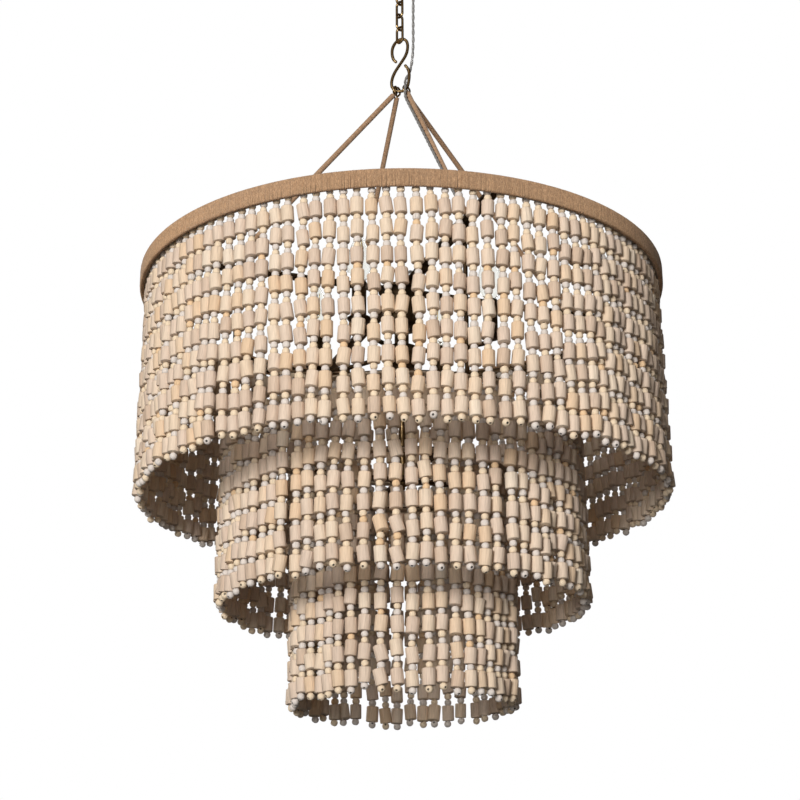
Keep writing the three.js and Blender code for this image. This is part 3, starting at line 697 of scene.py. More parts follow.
# Upper hoop: rolled and welded iron, an upright strip with an inward leg half way up, from which the outer
# curtain hangs and on which the spider's bars rest. Painted dark bronze.
band_radius = 0.381
band_height = 0.025
band_cover = 0.0023
hoop_wall = 0.0023
leg_reach = 0.018
leg_drop = 0.012
leg_thickness = 0.004
hoop_outer = band_radius - band_cover
hoop_inner = hoop_outer - hoop_wall
leg_bottom = band_top - leg_drop - leg_thickness
hoop_outline = eased(
    [
        (hoop_outer, band_top - band_height + 0.002),
        (hoop_outer, band_top - 0.002), (hoop_inner, band_top - 0.002),
        (hoop_inner, leg_bottom + leg_thickness),
        (hoop_inner - leg_reach, leg_bottom + leg_thickness),
        (hoop_inner - leg_reach, leg_bottom), (hoop_inner, leg_bottom),
        (hoop_inner, band_top - band_height + 0.002),
    ],
    0.0005,
    2,
)
upper_hoop = new_piece("upper_hoop_iron", *lathe(hoop_outline, 240), dark_bronze, 45)
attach(upper_hoop, "frame")
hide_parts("upper_hoop")


# Jute band: one thin jute yarn wound round the hoop's upright strip, turn by turn, so closely that the iron
# doesn't show. Each turn goes up the outside, over the top and round the lower edge, and is glued down.
yarn_radius = 0.00085
yarn_turns = 375
yarn_widening = 1.04

repeat_turns = bpy.data.node_groups.new("repeat_turns", "GeometryNodeTree")
for name, kind in [
    ("Places", "NodeSocketGeometry"), ("Turn", "NodeSocketObject"),
    ("Size spread", "NodeSocketFloat"), ("Slant", "NodeSocketFloat"), ("Seed", "NodeSocketInt"),
    ("Finish", "NodeSocketMaterial"),
]:
    repeat_turns.interface.new_socket(name, in_out="INPUT", socket_type=kind)
repeat_turns.interface.new_socket("Wound", in_out="OUTPUT", socket_type="NodeSocketGeometry")
tree = repeat_turns
given = add(tree, "NodeGroupInput").outputs
turned_to = add(tree, "GeometryNodeInputNamedAttribute", {"Name": "turned_to"}, data_type="FLOAT_VECTOR")
tone = add(tree, "FunctionNodeRandomValue", {"Seed": given["Seed"]}, data_type="FLOAT")
marked = add(
    tree,
    "GeometryNodeStoreNamedAttribute",
    {"Geometry": given["Places"], "Name": "tone", "Value": tone.outputs[1]},
    data_type="FLOAT",
    domain="POINT",
)
one = add(tree, "GeometryNodeObjectInfo", {"Object": given["Turn"]}, transform_space="ORIGINAL")
next_seed = add(tree, "ShaderNodeMath", {0: given["Seed"], 1: 7.0}, operation="ADD")
lowest = add(tree, "ShaderNodeMath", {0: 1.0, 1: given["Size spread"]}, operation="SUBTRACT")
highest = add(tree, "ShaderNodeMath", {0: 1.0, 1: given["Size spread"]}, operation="ADD")
size = add(
    tree,
    "FunctionNodeRandomValue",
    {2: lowest.outputs[0], 3: highest.outputs[0], "Seed": next_seed.outputs[0]},
    data_type="FLOAT",
)
back_slant = add(tree, "ShaderNodeMath", {0: given["Slant"], 1: -1.0}, operation="MULTIPLY")
slant = add(
    tree,
    "FunctionNodeRandomValue",
    {2: back_slant.outputs[0], 3: given["Slant"], "Seed": next_seed.outputs[0]},
    data_type="FLOAT",
)
lean = add(tree, "ShaderNodeCombineXYZ", {"X": slant.outputs[1]})
leaned = add(
    tree,
    "FunctionNodeRotateRotation",
    {"Rotation": turned_to.outputs["Attribute"], "Rotate By": lean.outputs[0]},
    rotation_space="LOCAL",
)
placed = add(
    tree,
    "GeometryNodeInstanceOnPoints",
    {
        "Points": marked.outputs[0],
        "Instance": one.outputs["Geometry"],
        "Rotation": leaned.outputs[0],
        "Scale": size.outputs[1],
    },
)
real = add(tree, "GeometryNodeRealizeInstances", {"Geometry": placed.outputs[0]})
finished = add(tree, "GeometryNodeSetMaterial", {"Geometry": real.outputs[0], "Material": given["Finish"]})
add(tree, "NodeGroupOutput", {0: finished.outputs[0]})


def grown(name, tree, points, attributes, inputs, edges=()):
    """The plain mesh that a node tree makes on the points, as a new piece."""
    seeds = bpy.data.meshes.new(name + "_places")
    seeds.from_pydata([tuple(map(float, p)) for p in points], [tuple(e) for e in edges], [])
    for key, (kind, values) in attributes.items():
        kept = seeds.attributes.new(key, kind, "POINT")
        field = "vector" if kind == "FLOAT_VECTOR" else "value"
        kept.data.foreach_set(field, np.asarray(values).ravel())
    holder = bpy.data.objects.new(name + "_places", seeds)
    bpy.context.scene.collection.objects.link(holder)
    grow = holder.modifiers.new("grow", "NODES")
    grow.node_group = tree
    for socket in tree.interface.items_tree:
        if socket.in_out == "INPUT" and socket.name in inputs:
            grow[socket.identifier] = inputs[socket.name]
    bpy.context.view_layer.update()
    depsgraph = bpy.context.evaluated_depsgraph_get()
    mesh = bpy.data.meshes.new_from_object(holder.evaluated_get(depsgraph), depsgraph=depsgraph)
    holder.modifiers.remove(grow)
    bpy.data.objects.remove(holder)
    bpy.data.meshes.remove(seeds)
    mesh.name = name
    mesh.shade_smooth()
    made = bpy.data.objects.new(name, mesh)
    bpy.context.scene.collection.objects.link(made)
    return made


turn_line = [
    (-0.0055, -0.0040), (-0.0055, -0.0020), (-0.0050, -0.0011), (-0.0038, -yarn_radius),
    (-0.0018, -yarn_radius),
    (-yarn_radius - 0.0001, -yarn_radius - 0.0002),
    (-yarn_radius, -0.0022), (-yarn_radius, -0.0070), (-yarn_radius, -0.0125),
    (-yarn_radius, 0.0070 - band_height), (-yarn_radius, 0.0026 - band_height),
    (-yarn_radius - 0.0002, yarn_radius + 0.0004 - band_height),
    (-0.0020, yarn_radius - band_height), (-0.0038, yarn_radius - band_height),
    (-0.0050, 0.0011 - band_height), (-0.0055, 0.0025 - band_height),
]
turn_points = np.array([(out, 0, height) for out, height in turn_line])
yarn_section = circle(yarn_radius, yarn_sides) * (1, yarn_widening)
yarn_turn = new_piece("yarn_turn", *sweep(turn_points, yarn_section, first_normal=(1, 0, 0)), rod_jute)
mark_yarn(yarn_turn, walked_along(turn_points), 330)
band_jute = jute_yarn("band_jute", (0.21, 0.12, 0.06), (0.44, 0.262, 0.14), (0.62, 0.43, 0.27), 1.5)
for n, side in enumerate(directions):
    azimuths = (n - 0.5 + (np.arange(yarn_turns) + 0.5) / yarn_turns) * math.pi / 2
    wobble = np.random.default_rng(40 + n).normal(0, 0.00009, yarn_turns)
    spots = [around(band_radius + w, a, band_top) for w, a in zip(wobble, azimuths)]
    turned = np.zeros((yarn_turns, 3))
    turned[:, 2] = azimuths - math.pi / 2
    band = grown(
        f"jute_band_{side}",
        repeat_turns,
        spots,
        {"turned_to": ("FLOAT_VECTOR", turned)},
        {"Turn": yarn_turn, "Size spread": 0.006, "Slant": 0.015, "Seed": 11 + n, "Finish": band_jute},
    )
    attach(band, "frame")
    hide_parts("upper_hoop_jute_band")
bpy.data.objects.remove(yarn_turn)


# Spider: four flat iron bars welded to a round hub. Their ends rest on the hoop's leg, just inside the flat
# sides of the solid hoop, each held by a round-headed screw. The stem hangs through the hub and a hanger goes
# down through each bar.
spider_thickness = 0.004
spider_bottom = spider_top - spider_thickness
spider_bar_width = 0.018
spider_hub_radius = 0.034
stem_radius = 0.005
hanger_radius = 0.0031
hanger_place = 0.2494
weld_reach = 0.0034
weld_bead = 0.0013
weld_ripple = 0.0002
weld_steps = 20
weld_lift = 0.0006
weld_waves = 5
solid_hoop_sides = 60
spider_end_gap = 0.0009
spider_reach = hoop_inner * math.cos(math.pi / solid_hoop_sides) - spider_end_gap


def cross_outline(hub_radius, reach, width, first_turn, arms=4, hub_steps=5):
    """A round hub with straight arms."""
    half = width / 2
    shoulder = math.asin(half / hub_radius)
    points = []
    for n in range(arms):
        turn = first_turn + n * 2 * math.pi / arms
        along, aside = np.array([math.cos(turn), math.sin(turn)]), np.array([-math.sin(turn), math.cos(turn)])
        points += [along * reach - aside * half, along * reach + aside * half]
        for a in np.linspace(turn + shoulder, turn + 2 * math.pi / arms - shoulder, hub_steps):
            points.append(hub_radius * np.array([math.cos(a), math.sin(a)]))
    return points


spider_holes = [circle(stem_radius + seat_gap, 20)]
for n in range(4):
    hole_middle = around(hanger_place, arm_turn + n * math.pi / 2)[:2]
    spider_holes.append(hole_middle + circle(hanger_radius + seat_gap, 20))
spider_outline = cross_outline(spider_hub_radius, spider_reach, spider_bar_width, arm_turn - math.pi / 2)
spider = flat_plate(
    "spider_plate", [spider_outline, *spider_holes], spider_bottom, spider_top, dark_bronze, 0.0005
)
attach(spider, "frame")
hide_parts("spider")

screw_head = eased(
    [(0, 0), (0.0046, 0), (0.0046, 0.0007), (0.0038, 0.0019), (0.0020, 0.0026), (0, 0.0028)],
    0.0003,
    1,
)
for n, side in enumerate(directions):
    screw_spot = around(hoop_inner - leg_reach / 2, arm_turn + n * math.pi / 2, spider_top)
    head = new_piece(f"spider_screw_{side}", *lathe(screw_head, 24, screw_spot), zinc_steel, 60)
    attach(head, "frame")

    weld_spots = rod_places(n)[0][:2] + circle(weld_reach, weld_steps)
    weld_line = np.column_stack([weld_spots, np.full(weld_steps, spider_top + weld_lift)])
    waves = np.linspace(0, weld_waves * 2 * math.pi, weld_steps, endpoint=False)
    ripple = weld_bead + weld_ripple * np.sin(waves + n)
    weld_section = ripple[:, None, None] * circle(1, 8)
    weld_mesh = sweep(weld_line, weld_section, loop=True, first_normal=(0, 0, 1))
    weld = new_piece(f"rod_weld_{side}", *weld_mesh, antique_brass)
    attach(weld, "frame")


# Hangers: four iron rods with a formed head on the spider's bar. They go down to the middle hoop and are
# welded to it at the foot.
hanger_head_radius = 0.0045
hanger_head_height = 0.004
middle_ring_bottom = band_top - 0.2315
lower_ring_bottom = band_top - 0.3028
ring_height = 0.005
ring_width = 0.008
middle_radius = 0.2494
lower_radius = 0.1491
hanger_foot = middle_ring_bottom + ring_height
head_bottom = spider_top + seat_gap
hanger_outline = eased(
    [
        (0, hanger_foot), (hanger_radius + 0.0016, hanger_foot),
        (hanger_radius, hanger_foot + 0.0022), (hanger_radius, head_bottom),
        (hanger_head_radius, head_bottom),
        (hanger_head_radius, head_bottom + hanger_head_height * 0.6),
        (0, head_bottom + hanger_head_height),
    ],
    0.0006,
    2,
)
for n, side in enumerate(directions):
    spot = around(hanger_place, arm_turn + n * math.pi / 2)
    hanger = new_piece(f"hanger_{side}", *lathe(hanger_outline, 20, spot), dark_bronze, 50)
    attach(hanger, "frame")
    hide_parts(f"middle_hoop_hanger_{side}")


# Middle and lower hoops: square iron bar, rolled and butt-welded, painted dark bronze. The lower one has two
# crossed flat bars with a hub that the stem goes through.
def ring_outline(radius, bottom):
    """The outline of a hoop's square bar."""
    inner, outer = radius - ring_width / 2, radius + ring_width / 2
    corners = [(outer, bottom), (outer, bottom + ring_height), (inner, bottom + ring_height), (inner, bottom)]
    return eased(corners, 0.0006, 2)


middle_mesh = lathe(ring_outline(middle_radius, middle_ring_bottom), 180)
middle_hoop = new_piece("middle_hoop_ring", *middle_mesh, dark_bronze, 45)
lower_mesh = lathe(ring_outline(lower_radius, lower_ring_bottom), 144)
lower_hoop = new_piece("lower_hoop_ring", *lower_mesh, dark_bronze, 45)
lower_bar_width = 0.012
lower_bar_thickness = 0.004
lower_hub_radius = 0.018
lower_bar_bottom = lower_ring_bottom + (ring_height - lower_bar_thickness) / 2
lower_bar_top = lower_bar_bottom + lower_bar_thickness
lower_cross = cross_outline(lower_hub_radius, lower_radius, lower_bar_width, arm_turn)
lower_outlines = [lower_cross, circle(stem_radius + seat_gap, 20)]
lower_bars = flat_plate("lower_hoop_bars", lower_outlines, lower_bar_bottom, lower_bar_top, dark_bronze)
for hoop_piece, node in [
    (middle_hoop, "middle_hoop"), (lower_hoop, "lower_hoop"), (lower_bars, "lower_hoop"),
]:
    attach(hoop_piece, "frame")
    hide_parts(node)


# Stem and finial: a brass rod from the spider's hub down to the lower hoop, with a turned flange at its top
# and a finial with a bead and a ball tip screwed on below.
stem_bottom = lower_bar_bottom - 0.006
stem_bore = stem_radius + seat_gap
flange_radius = 0.009
flange_bottom = spider_top + seat_gap
finial_radius = 0.009
finial_height = 0.012
stem_outline = eased(
    [
        (0, stem_bottom), (stem_radius, stem_bottom), (stem_radius, flange_bottom),
        (flange_radius, flange_bottom), (flange_radius, flange_bottom + 0.0022),
        (0.0056, flange_bottom + 0.0040), (0, flange_bottom + 0.0040),
    ],
    0.0006,
)
stem = new_piece("stem_rod", *lathe(stem_outline, 28), antique_brass, 50)
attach(stem, "frame")
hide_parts("central_stem")

finial_top = lower_bar_bottom - seat_gap
finial_shares = [
    (0.00, -1.00), (0.22, -0.98), (0.40, -0.90), (0.46, -0.78), (0.38, -0.66), (0.34, -0.62),
    (0.62, -0.54), (0.90, -0.42), (1.00, -0.28), (0.92, -0.16), (0.70, -0.10), (0.78, -0.08),
    (0.86, -0.03), (0.84, 0.00),
]
finial_outline = [(r * finial_radius, finial_top + z * finial_height) for r, z in finial_shares]
bore_end = stem_bottom - seat_gap
finial_outline += [(stem_bore, finial_top), (stem_bore, bore_end), (0, bore_end)]
finial = new_piece("finial_knob", *lathe(finial_outline, 36), antique_brass, 60)
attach(finial, "frame")
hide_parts("stem_finial")


# Lamp cluster: a spun wiring box with a lid, right under the spider's hub, on a neck down to the turned body
# that holds the arms and has a bead round its middle. The stem goes through all of it. Dark bronze.
cluster_middle = band_top - 0.114
cluster_height = 0.034
cluster_bottom = cluster_middle - cluster_height / 2
cluster_top = cluster_middle + cluster_height / 2
box_top = band_top - 0.012
box_bottom = box_top - 0.056
cluster_outline = [
    (stem_bore, cluster_bottom), (0.0150, cluster_bottom), (0.0190, cluster_bottom + 0.0008),
    (0.0215, cluster_bottom + 0.0028), (0.0225, cluster_bottom + 0.0050),
    (0.0262, cluster_bottom + 0.0066), (0.0268, cluster_bottom + 0.0090),
    (0.0268, cluster_middle - 0.0035), (0.0277, cluster_middle - 0.0024), (0.0280, cluster_middle),
    (0.0277, cluster_middle + 0.0024), (0.0268, cluster_middle + 0.0035),
    (0.0268, cluster_top - 0.0070), (0.0255, cluster_top - 0.0048), (0.0225, cluster_top - 0.0026),
    (0.0180, cluster_top - 0.0010), (0.0122, cluster_top), (0.0108, cluster_top + 0.0016),
    (0.0104, cluster_top + 0.0040), (0.0104, box_bottom - 0.0040), (0.0110, box_bottom - 0.0014),
    (0.0128, box_bottom), (0.0262, box_bottom), (0.0276, box_bottom + 0.0010),
    (0.0282, box_bottom + 0.0028), (0.0282, box_top - 0.0140), (0.0278, box_top - 0.0136),
    (0.0278, box_top - 0.0130), (0.0285, box_top - 0.0126), (0.0285, box_top - 0.0010),
    (0.0279, box_top), (stem_bore, box_top),
]
cluster = new_piece("lamp_cluster_housing", *lathe(cluster_outline, 64), dark_bronze, 40)
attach(cluster, "frame")
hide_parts("lamp_cluster_body")


# Lamp arms: four bent iron tubes from the cluster, each with a collar where it enters. At its end a round
# drip pan on a short turned foot carries the candle.
lamp_reach = 0.14
lamp_tube_radius = 0.0034
lamp_tube_step = 0.002
collar_lift = 0.0048
lamp_names = ["front_right", "back_right", "back_left", "front_left"]
lamp_azimuths = [math.radians(65) + n * math.pi / 2 for n in range(4)]
pan_top = cluster_middle + 0.008
pan_radius = 0.017
arm_route = [
    (0.0260, cluster_middle + 0.0050), (0.0360, cluster_middle + 0.0046),
    (0.0560, cluster_middle + 0.0016), (0.0850, cluster_middle - 0.0014),
    (0.1120, cluster_middle - 0.0006), (0.1300, cluster_middle + 0.0002),
    (0.1385, cluster_middle + 0.0016), (0.1400, cluster_middle + 0.0042),
]
pan_outline = eased(
    [
        (0, -0.0050), (0.0046, -0.0050), (0.0062, -0.0034), (0.0120, -0.0022), (0.0158, 0.0004),
        (pan_radius, 0.0022), (0.0160, 0.0026), (0.0146, 0.0006), (0.0118, 0), (0, 0),
    ],
    0.0005,
    2,
)
collar_ring = [
    (0.0265, 0.0040), (0.0265, 0.0058), (0.0288, 0.0062), (0.0302, 0.0056), (0.0310, 0.0046),
    (0.0324, 0.0042), (0.0324, 0.0034), (0.0300, 0.0034),
]
for name, azimuth in zip(lamp_names, lamp_azimuths):
    arm_points = [around(r, azimuth, z) for r, z in arm_route]
    arm_line = along_route(arm_points, 0, len(arm_points) - 1, lamp_tube_step)
    arm = new_piece(f"lamp_tube_{name}", *sweep(arm_line, circle(lamp_tube_radius, 14)), dark_bronze)
    pan_mesh = lathe(pan_outline, 40, around(lamp_reach, azimuth, pan_top))
    pan = new_piece(f"drip_pan_{name}", *pan_mesh, dark_bronze, 40)
    vertices, faces = lathe([(r, z) for z, r in collar_ring[::-1]], 24)
    quarter_turn = Matrix.Rotation(azimuth - math.pi / 2, 4, "Z") @ Matrix.Rotation(math.pi / 2, 4, "Y")
    lift = Matrix.Translation((0, 0, cluster_middle + collar_lift))
    collar_points = [lift @ quarter_turn @ Vector(v) for v in vertices]
    arm_collar = new_piece(f"lamp_tube_collar_{name}", collar_points, faces, dark_bronze, 40)
    for arm_piece in (arm, pan, arm_collar):
        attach(arm_piece, "frame")
    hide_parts(f"lamp_arm_{name}")
    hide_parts(f"lamp_arm_{name}")


# Candle sockets: a dark bronze sleeve on each drip pan, with a rolled lip and a foot ring. The bulb's cap
# goes into its mouth.
sleeve_bottom = pan_top + seat_gap
sleeve_height = 0.056
sleeve_radius = 0.011
sleeve_floor = 0.022
sleeve_outline = [
    (0, 0), (0.0106, 0), (sleeve_radius, 0.0010), (0.0108, 0.0024), (0.0102, 0.0032),
    (0.0102, 0.0530), (0.0107, 0.0540), (sleeve_radius, 0.0550), (0.0107, 0.0559),
    (0.0098, sleeve_height), (0.0090, 0.0552), (0.0088, 0.0535), (0.0088, sleeve_floor),
    (0, sleeve_floor),
]
for name, azimuth in zip(lamp_names, lamp_azimuths):
    sleeve_mesh = lathe(sleeve_outline, 36, around(lamp_reach, azimuth, sleeve_bottom))
    sleeve = new_piece(f"candle_sleeve_{name}", *sleeve_mesh, dark_bronze, 50)
    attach(sleeve, "frame")
    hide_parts(f"candle_socket_{name}")


# Bulbs: clear blown flame-shaped glass on a brass screw cap, with a glass stem and two long filaments. Each
# one unscrews from its sleeve.
cap_bottom = sleeve_bottom + sleeve_floor + seat_gap
cap_radius = 0.0068
cap_pitch = 0.0021
cap_thread = 0.0006
filament_radius = 0.0007
glass_bottom = sleeve_bottom + sleeve_height + seat_gap
glass_height = 0.078
glass_radius = 0.0175
glass_wall = 0.0008
glass_shares = [
    (0.40, -0.02), (0.46, 0.02), (0.62, 0.07), (0.80, 0.13), (0.94, 0.22), (1.00, 0.32),
    (0.98, 0.42), (0.90, 0.53), (0.76, 0.64), (0.59, 0.74), (0.42, 0.83), (0.27, 0.90),
    (0.15, 0.955), (0.06, 0.99), (0.00, 1.00),
]
clear_glass, tree, surface = finish_of("clear_glass", Roughness=0.02, IOR=1.46, Transmission_Weight=1.0)
spot = add(tree, "ShaderNodeTexCoord").outputs["Object"]
ripple = add(tree, "ShaderNodeTexNoise", {"Vector": spot, "Scale": 90.0, "Detail": 1.0})
colour_by(tree, surface, ripple.outputs["Fac"], (0.3, 0.93, 0.93, 0.9), (0.7, 0.98, 0.98, 0.96))
warm_filament, tree, surface = finish_of("warm_filament", Roughness=0.5)
spot = add(tree, "ShaderNodeTexCoord").outputs["Object"]
dots = add(tree, "ShaderNodeTexNoise", {"Vector": spot, "Scale": 1500.0})
colour_by(tree, surface, dots.outputs["Fac"], (0.4, 0.75, 0.5, 0.14), (0.6, 0.85, 0.66, 0.28))
outer_glass = [(r * glass_radius, glass_bottom + z * glass_height) for r, z in glass_shares]
inner_glass = [(max(r - glass_wall, 0), z - glass_wall * (r < 0.004)) for r, z in outer_glass[1:]]
glass_outline = [*outer_glass, *inner_glass[::-1], (0.0062, glass_bottom - 0.0012)]
cap_threads = threaded(cap_radius, cap_bottom + 0.004, glass_bottom - 0.0045, cap_pitch, cap_thread)
cap_outline = [(0, cap_bottom), (0.0026, cap_bottom), (0.0040, cap_bottom + 0.003), *cap_threads[1:-1]]
cap_outline += [(0.0070, glass_bottom - 0.0030), (0.0070, glass_bottom), (0, glass_bottom)]
glass_stem = [(0, 0), (0.0052, 0), (0.0030, 0.006), (0.0016, 0.016), (0.0012, 0.024), (0, 0.025)]
for name, azimuth in zip(lamp_names, lamp_azimuths):
    spot = around(lamp_reach, azimuth)
    glass = new_piece(f"bulb_glass_{name}", *lathe(glass_outline, 40, spot), clear_glass)
    cap = new_piece(f"bulb_cap_{name}", *lathe(cap_outline, 28, spot), antique_brass, 40)
    parts = [glass, cap]
    stem_spot = around(lamp_reach, azimuth, glass_bottom)
    parts.append(new_piece(f"bulb_stem_{name}", *lathe(glass_stem, 16, stem_spot), clear_glass))
    for k, side in enumerate((-1, 1)):
        a = spot + (side * 0.0012, 0, glass_bottom + 0.022)
        b = spot + (side * 0.0042, side * 0.002, glass_bottom + 0.030)
        c = spot + (side * 0.0030, side * 0.001, glass_bottom + 0.062)
        filament_line = along_route([a, b, (b + c) / 2, c], 0, 3, 0.003)
        filament = sweep(filament_line, circle(filament_radius, 6))
        parts.append(new_piece(f"bulb_filament_{name}_{k + 1}", *filament, warm_filament))
    for part in parts:
        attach(part, f"bulb_{name}")
    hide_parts(f"bulb_{name}")
    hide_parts(f"bulb_{name}")


# Header tapes: a woven cotton tape under each hoop, from which the strands hang. A tier has its radius, the
# strands in a quarter of it, the cylinders in a strand, the tape's underside, the strands' slack and how
# closely their beads are pushed together.
tape_width = 0.0156
tape_height = 0.0024
tiers = {
    "upper": (0.3670, 31, 9, -0.5925, 0, 0.988),
    "middle": (0.2494, 20, 7, -0.8080, 0.004, 1),
    "lower": (0.1491, 12, 9, -0.8793, 0, 1),
}
woven_cotton, tree, surface = finish_of("woven_cotton", Roughness=0.95)
spot = add(tree, "ShaderNodeTexCoord").outputs["Object"]
threads = add(tree, "ShaderNodeTexWave", {"Vector": spot, "Scale": 700.0, "Distortion": 3.0, "Detail": 2.0})
colour_by(tree, surface, threads.outputs["Fac"], (0.2, 0.46, 0.36, 0.26), (0.8, 0.7, 0.58, 0.44))
bump_by(tree, surface, threads.outputs["Fac"], 0.4, 0.0003)
for tier, (radius, _, _, top, _, _) in tiers.items():
    corners = [(radius + tape_width / 2, top), (radius + tape_width / 2, top + tape_height)]
    corners += [(radius - tape_width / 2, top + tape_height), (radius - tape_width / 2, top)]
    tape = new_piece(f"header_tape_{tier}", *lathe(eased(corners, 0.0009, 3), 192), woven_cotton, 50)
    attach(tape, "frame")


# Bead strands: wooden cylinder beads with eased shoulders, and small round ones between them, threaded on
# cotton thread that is sewn to the tape. A strand has one or two round beads in turn between its cylinders,
# two at its top and one at its end. Strands sway against each other, so none hangs quite like the next.
cylinder_length = 0.0214
cylinder_spread = 0.0005
ball_length = 0.0086
ball_spread = 0.0004
thread_radius = 0.0005
bead_clearance = 0.0172
cylinder_profile = [(7.3, -10.7), (8.1, -10.35), (8.5, -9.6), (8.5, 9.5), (8.0, 10.4), (7.1, 10.7)]
ball_profile = [(2.2, -4.3), (3.9, -3.5), (4.95, -1.8), (5.2, 0), (4.95, 1.8), (3.9, 3.5), (2.2, 4.3)]
end_profile = [(0, -1.0), (1.3, -1.2), (1.4, -4.2), (2.2, -4.5), (3.9, -3.5), (4.95, -1.8), (5.2, 0)]
end_profile += [(4.95, 1.8), (3.9, 3.5), (2.2, 4.3), (0, 4.3)]
strand_levels = 26
sideways_drift = 0.0021
sideways_spread = 0.0007
level_spread = 0.0017
kink_spread = 0.00035
depth_spread = 0.0006
flares = {"upper": 0.0045, "middle": 0.002, "lower": 0.0015}
swapped_shares = {"upper": 0.27, "middle": 0.28, "lower": 0.47}
flare_growth = 2.2
push_rounds = 300
most_lowered = 0.003
sewing_gap = 0.0004
level_margin = 0.006
top_lean, added_lean = 0.035, 0.045
end_turned_out = (0.2, 1.35)
end_turned_aside = 0.5
cylinder_kind, ball_kind, end_kind, knot_kind = range(4)
white, natural, orange = 0.35, 0.65, 0.95

bead_wood, tree, surface = finish_of("bead_wood", Roughness=0.72, Specular_IOR_Level=0.3)
place = add(tree, "ShaderNodeAttribute", attribute_name="bead_at").outputs["Vector"]
tone = add(tree, "ShaderNodeAttribute", attribute_name="bead_tone").outputs["Fac"]
colour = add(tree, "ShaderNodeAttribute", attribute_name="bead_colour").outputs["Fac"]
moved = moved_by(tree, place, tone, 0.9)
long_way = add(tree, "ShaderNodeVectorMath", {0: moved, 1: (1100, 1100, 70)}, operation="MULTIPLY").outputs[0]
wide_way = add(tree, "ShaderNodeVectorMath", {0: moved, 1: (260, 260, 22)}, operation="MULTIPLY").outputs[0]
grain = add(tree, "ShaderNodeTexNoise", {"Vector": long_way, "Scale": 1.0, "Detail": 3.0}).outputs["Fac"]
figure = add(tree, "ShaderNodeTexNoise", {"Vector": wide_way, "Scale": 1.0, "Detail": 2.0}).outputs["Fac"]
plain_woods = [
    (0.0, 0.61, 0.46, 0.34), (0.18, 0.68, 0.54, 0.43), (0.45, 0.73, 0.585, 0.46),
    (0.7, 0.77, 0.625, 0.475), (0.86, 0.73, 0.53, 0.35), (1.0, 0.80, 0.68, 0.545),
]
ball_stains = [(0, 0.72, 0.655, 0.60), (0.5, 0.81, 0.66, 0.48), (0.83, 0.79, 0.56, 0.34)]
plain = colour_steps(tree, tone, *plain_woods)
stained = colour_steps(tree, colour, *ball_stains, between="CONSTANT")
is_round = add(tree, "ShaderNodeMath", {0: colour, 1: 0.2}, operation="GREATER_THAN").outputs[0]
base = add(tree, "ShaderNodeMix", {0: is_round, "A": plain, "B": stained}, data_type="RGBA")
from_end = add(tree, "ShaderNodeSeparateXYZ", {"Vector": place}).outputs["Z"]
from_end = add(tree, "ShaderNodeMath", {0: from_end}, operation="ABSOLUTE").outputs[0]
# Painted shade of the bead's bore: near the axis the wood is made five times darker. The cylinder and round
# beads have no hole, only a flat end, so there it is a dark disc painted on. On the end bead it darkens the
# real hole.
bore_shade_offset = add(tree, "ShaderNodeVectorMath", {0: place, 1: (1, 1, 0)}, operation="MULTIPLY").outputs[0]
bore_shade_offset = add(tree, "ShaderNodeVectorMath", {0: bore_shade_offset}, operation="LENGTH").outputs["Value"]
shaded_by(
    tree,
    surface,
    base.outputs["Result"],
    ranged(tree, grain, 0.3, 0.7, 0.86, 1.07),
    ranged(tree, figure, 0.62, 0.74, 1.0, 0.8),
    ranged(tree, from_end, 0.0096, 0.0104, 1.0, 0.84),
    # painted shade inside the bore, close to the bead's axis
    ranged(tree, bore_shade_offset, 0.0014, 0.0018, 0.2, 1.0),
)
bump_by(tree, surface, grain, 0.25, 0.0002)

cotton_thread, tree, surface = finish_of("cotton_thread", Roughness=0.9)
spot = add(tree, "ShaderNodeTexCoord").outputs["Object"]
twist = add(tree, "ShaderNodeTexNoise", {"Vector": spot, "Scale": 1200.0})
colour_by(tree, surface, twist.outputs["Fac"], (0.3, 0.5, 0.44, 0.36), (0.7, 0.72, 0.66, 0.56))


def bead(name, profile):
    """A bead to string, from its outline in millimetres, which keeps each vertex's place for the finish."""
    outline = [(r / 1000, z / 1000) for r, z in profile]
    if outline[0][0] > 0:
        outline = [(0, outline[0][1]), *outline, (0, outline[-1][1])]
    made = new_piece(name, *lathe(outline, 12), bead_wood, 28)
    mark_places(made, "bead_at", [tuple(v.co) for v in made.data.vertices])
    return made


cylinder_bead = bead("cylinder_bead", cylinder_profile)
ball_bead = bead("ball_bead", ball_profile)
end_bead = bead("end_bead", end_profile)

bead_strands = bpy.data.node_groups.new("bead_strands", "GeometryNodeTree")
for name, kind in [
    ("Places", "NodeSocketGeometry"), ("Cylinder bead", "NodeSocketObject"),
    ("Round bead", "NodeSocketObject"), ("End bead", "NodeSocketObject"),
    ("Bead size", "NodeSocketFloat"), ("Thread radius", "NodeSocketFloat"),
    ("Tone seed", "NodeSocketInt"), ("Wood", "NodeSocketMaterial"),
    ("Thread", "NodeSocketMaterial"),
]:
    bead_strands.interface.new_socket(name, in_out="INPUT", socket_type=kind)
bead_strands.interface.new_socket("Strands", in_out="OUTPUT", socket_type="NodeSocketGeometry")
tree = bead_strands
given = add(tree, "NodeGroupInput").outputs
tone = add(tree, "FunctionNodeRandomValue", {"Seed": given["Tone seed"]}, data_type="FLOAT")
marked = add(
    tree,
    "GeometryNodeStoreNamedAttribute",
    {"Geometry": given["Places"], "Name": "bead_tone", "Value": tone.outputs[1]},
    data_type="FLOAT",
    domain="POINT",
)
kind = add(tree, "GeometryNodeInputNamedAttribute", {"Name": "bead_kind"}, data_type="INT")
turned_to = add(tree, "GeometryNodeInputNamedAttribute", {"Name": "bead_turn"}, data_type="FLOAT_VECTOR")
own_size = add(tree, "GeometryNodeInputNamedAttribute", {"Name": "bead_size"}, data_type="FLOAT")
sizes = {0: own_size.outputs["Attribute"], 1: given["Bead size"]}
size = add(tree, "ShaderNodeMath", sizes, operation="MULTIPLY")
joined = add(tree, "GeometryNodeJoinGeometry")
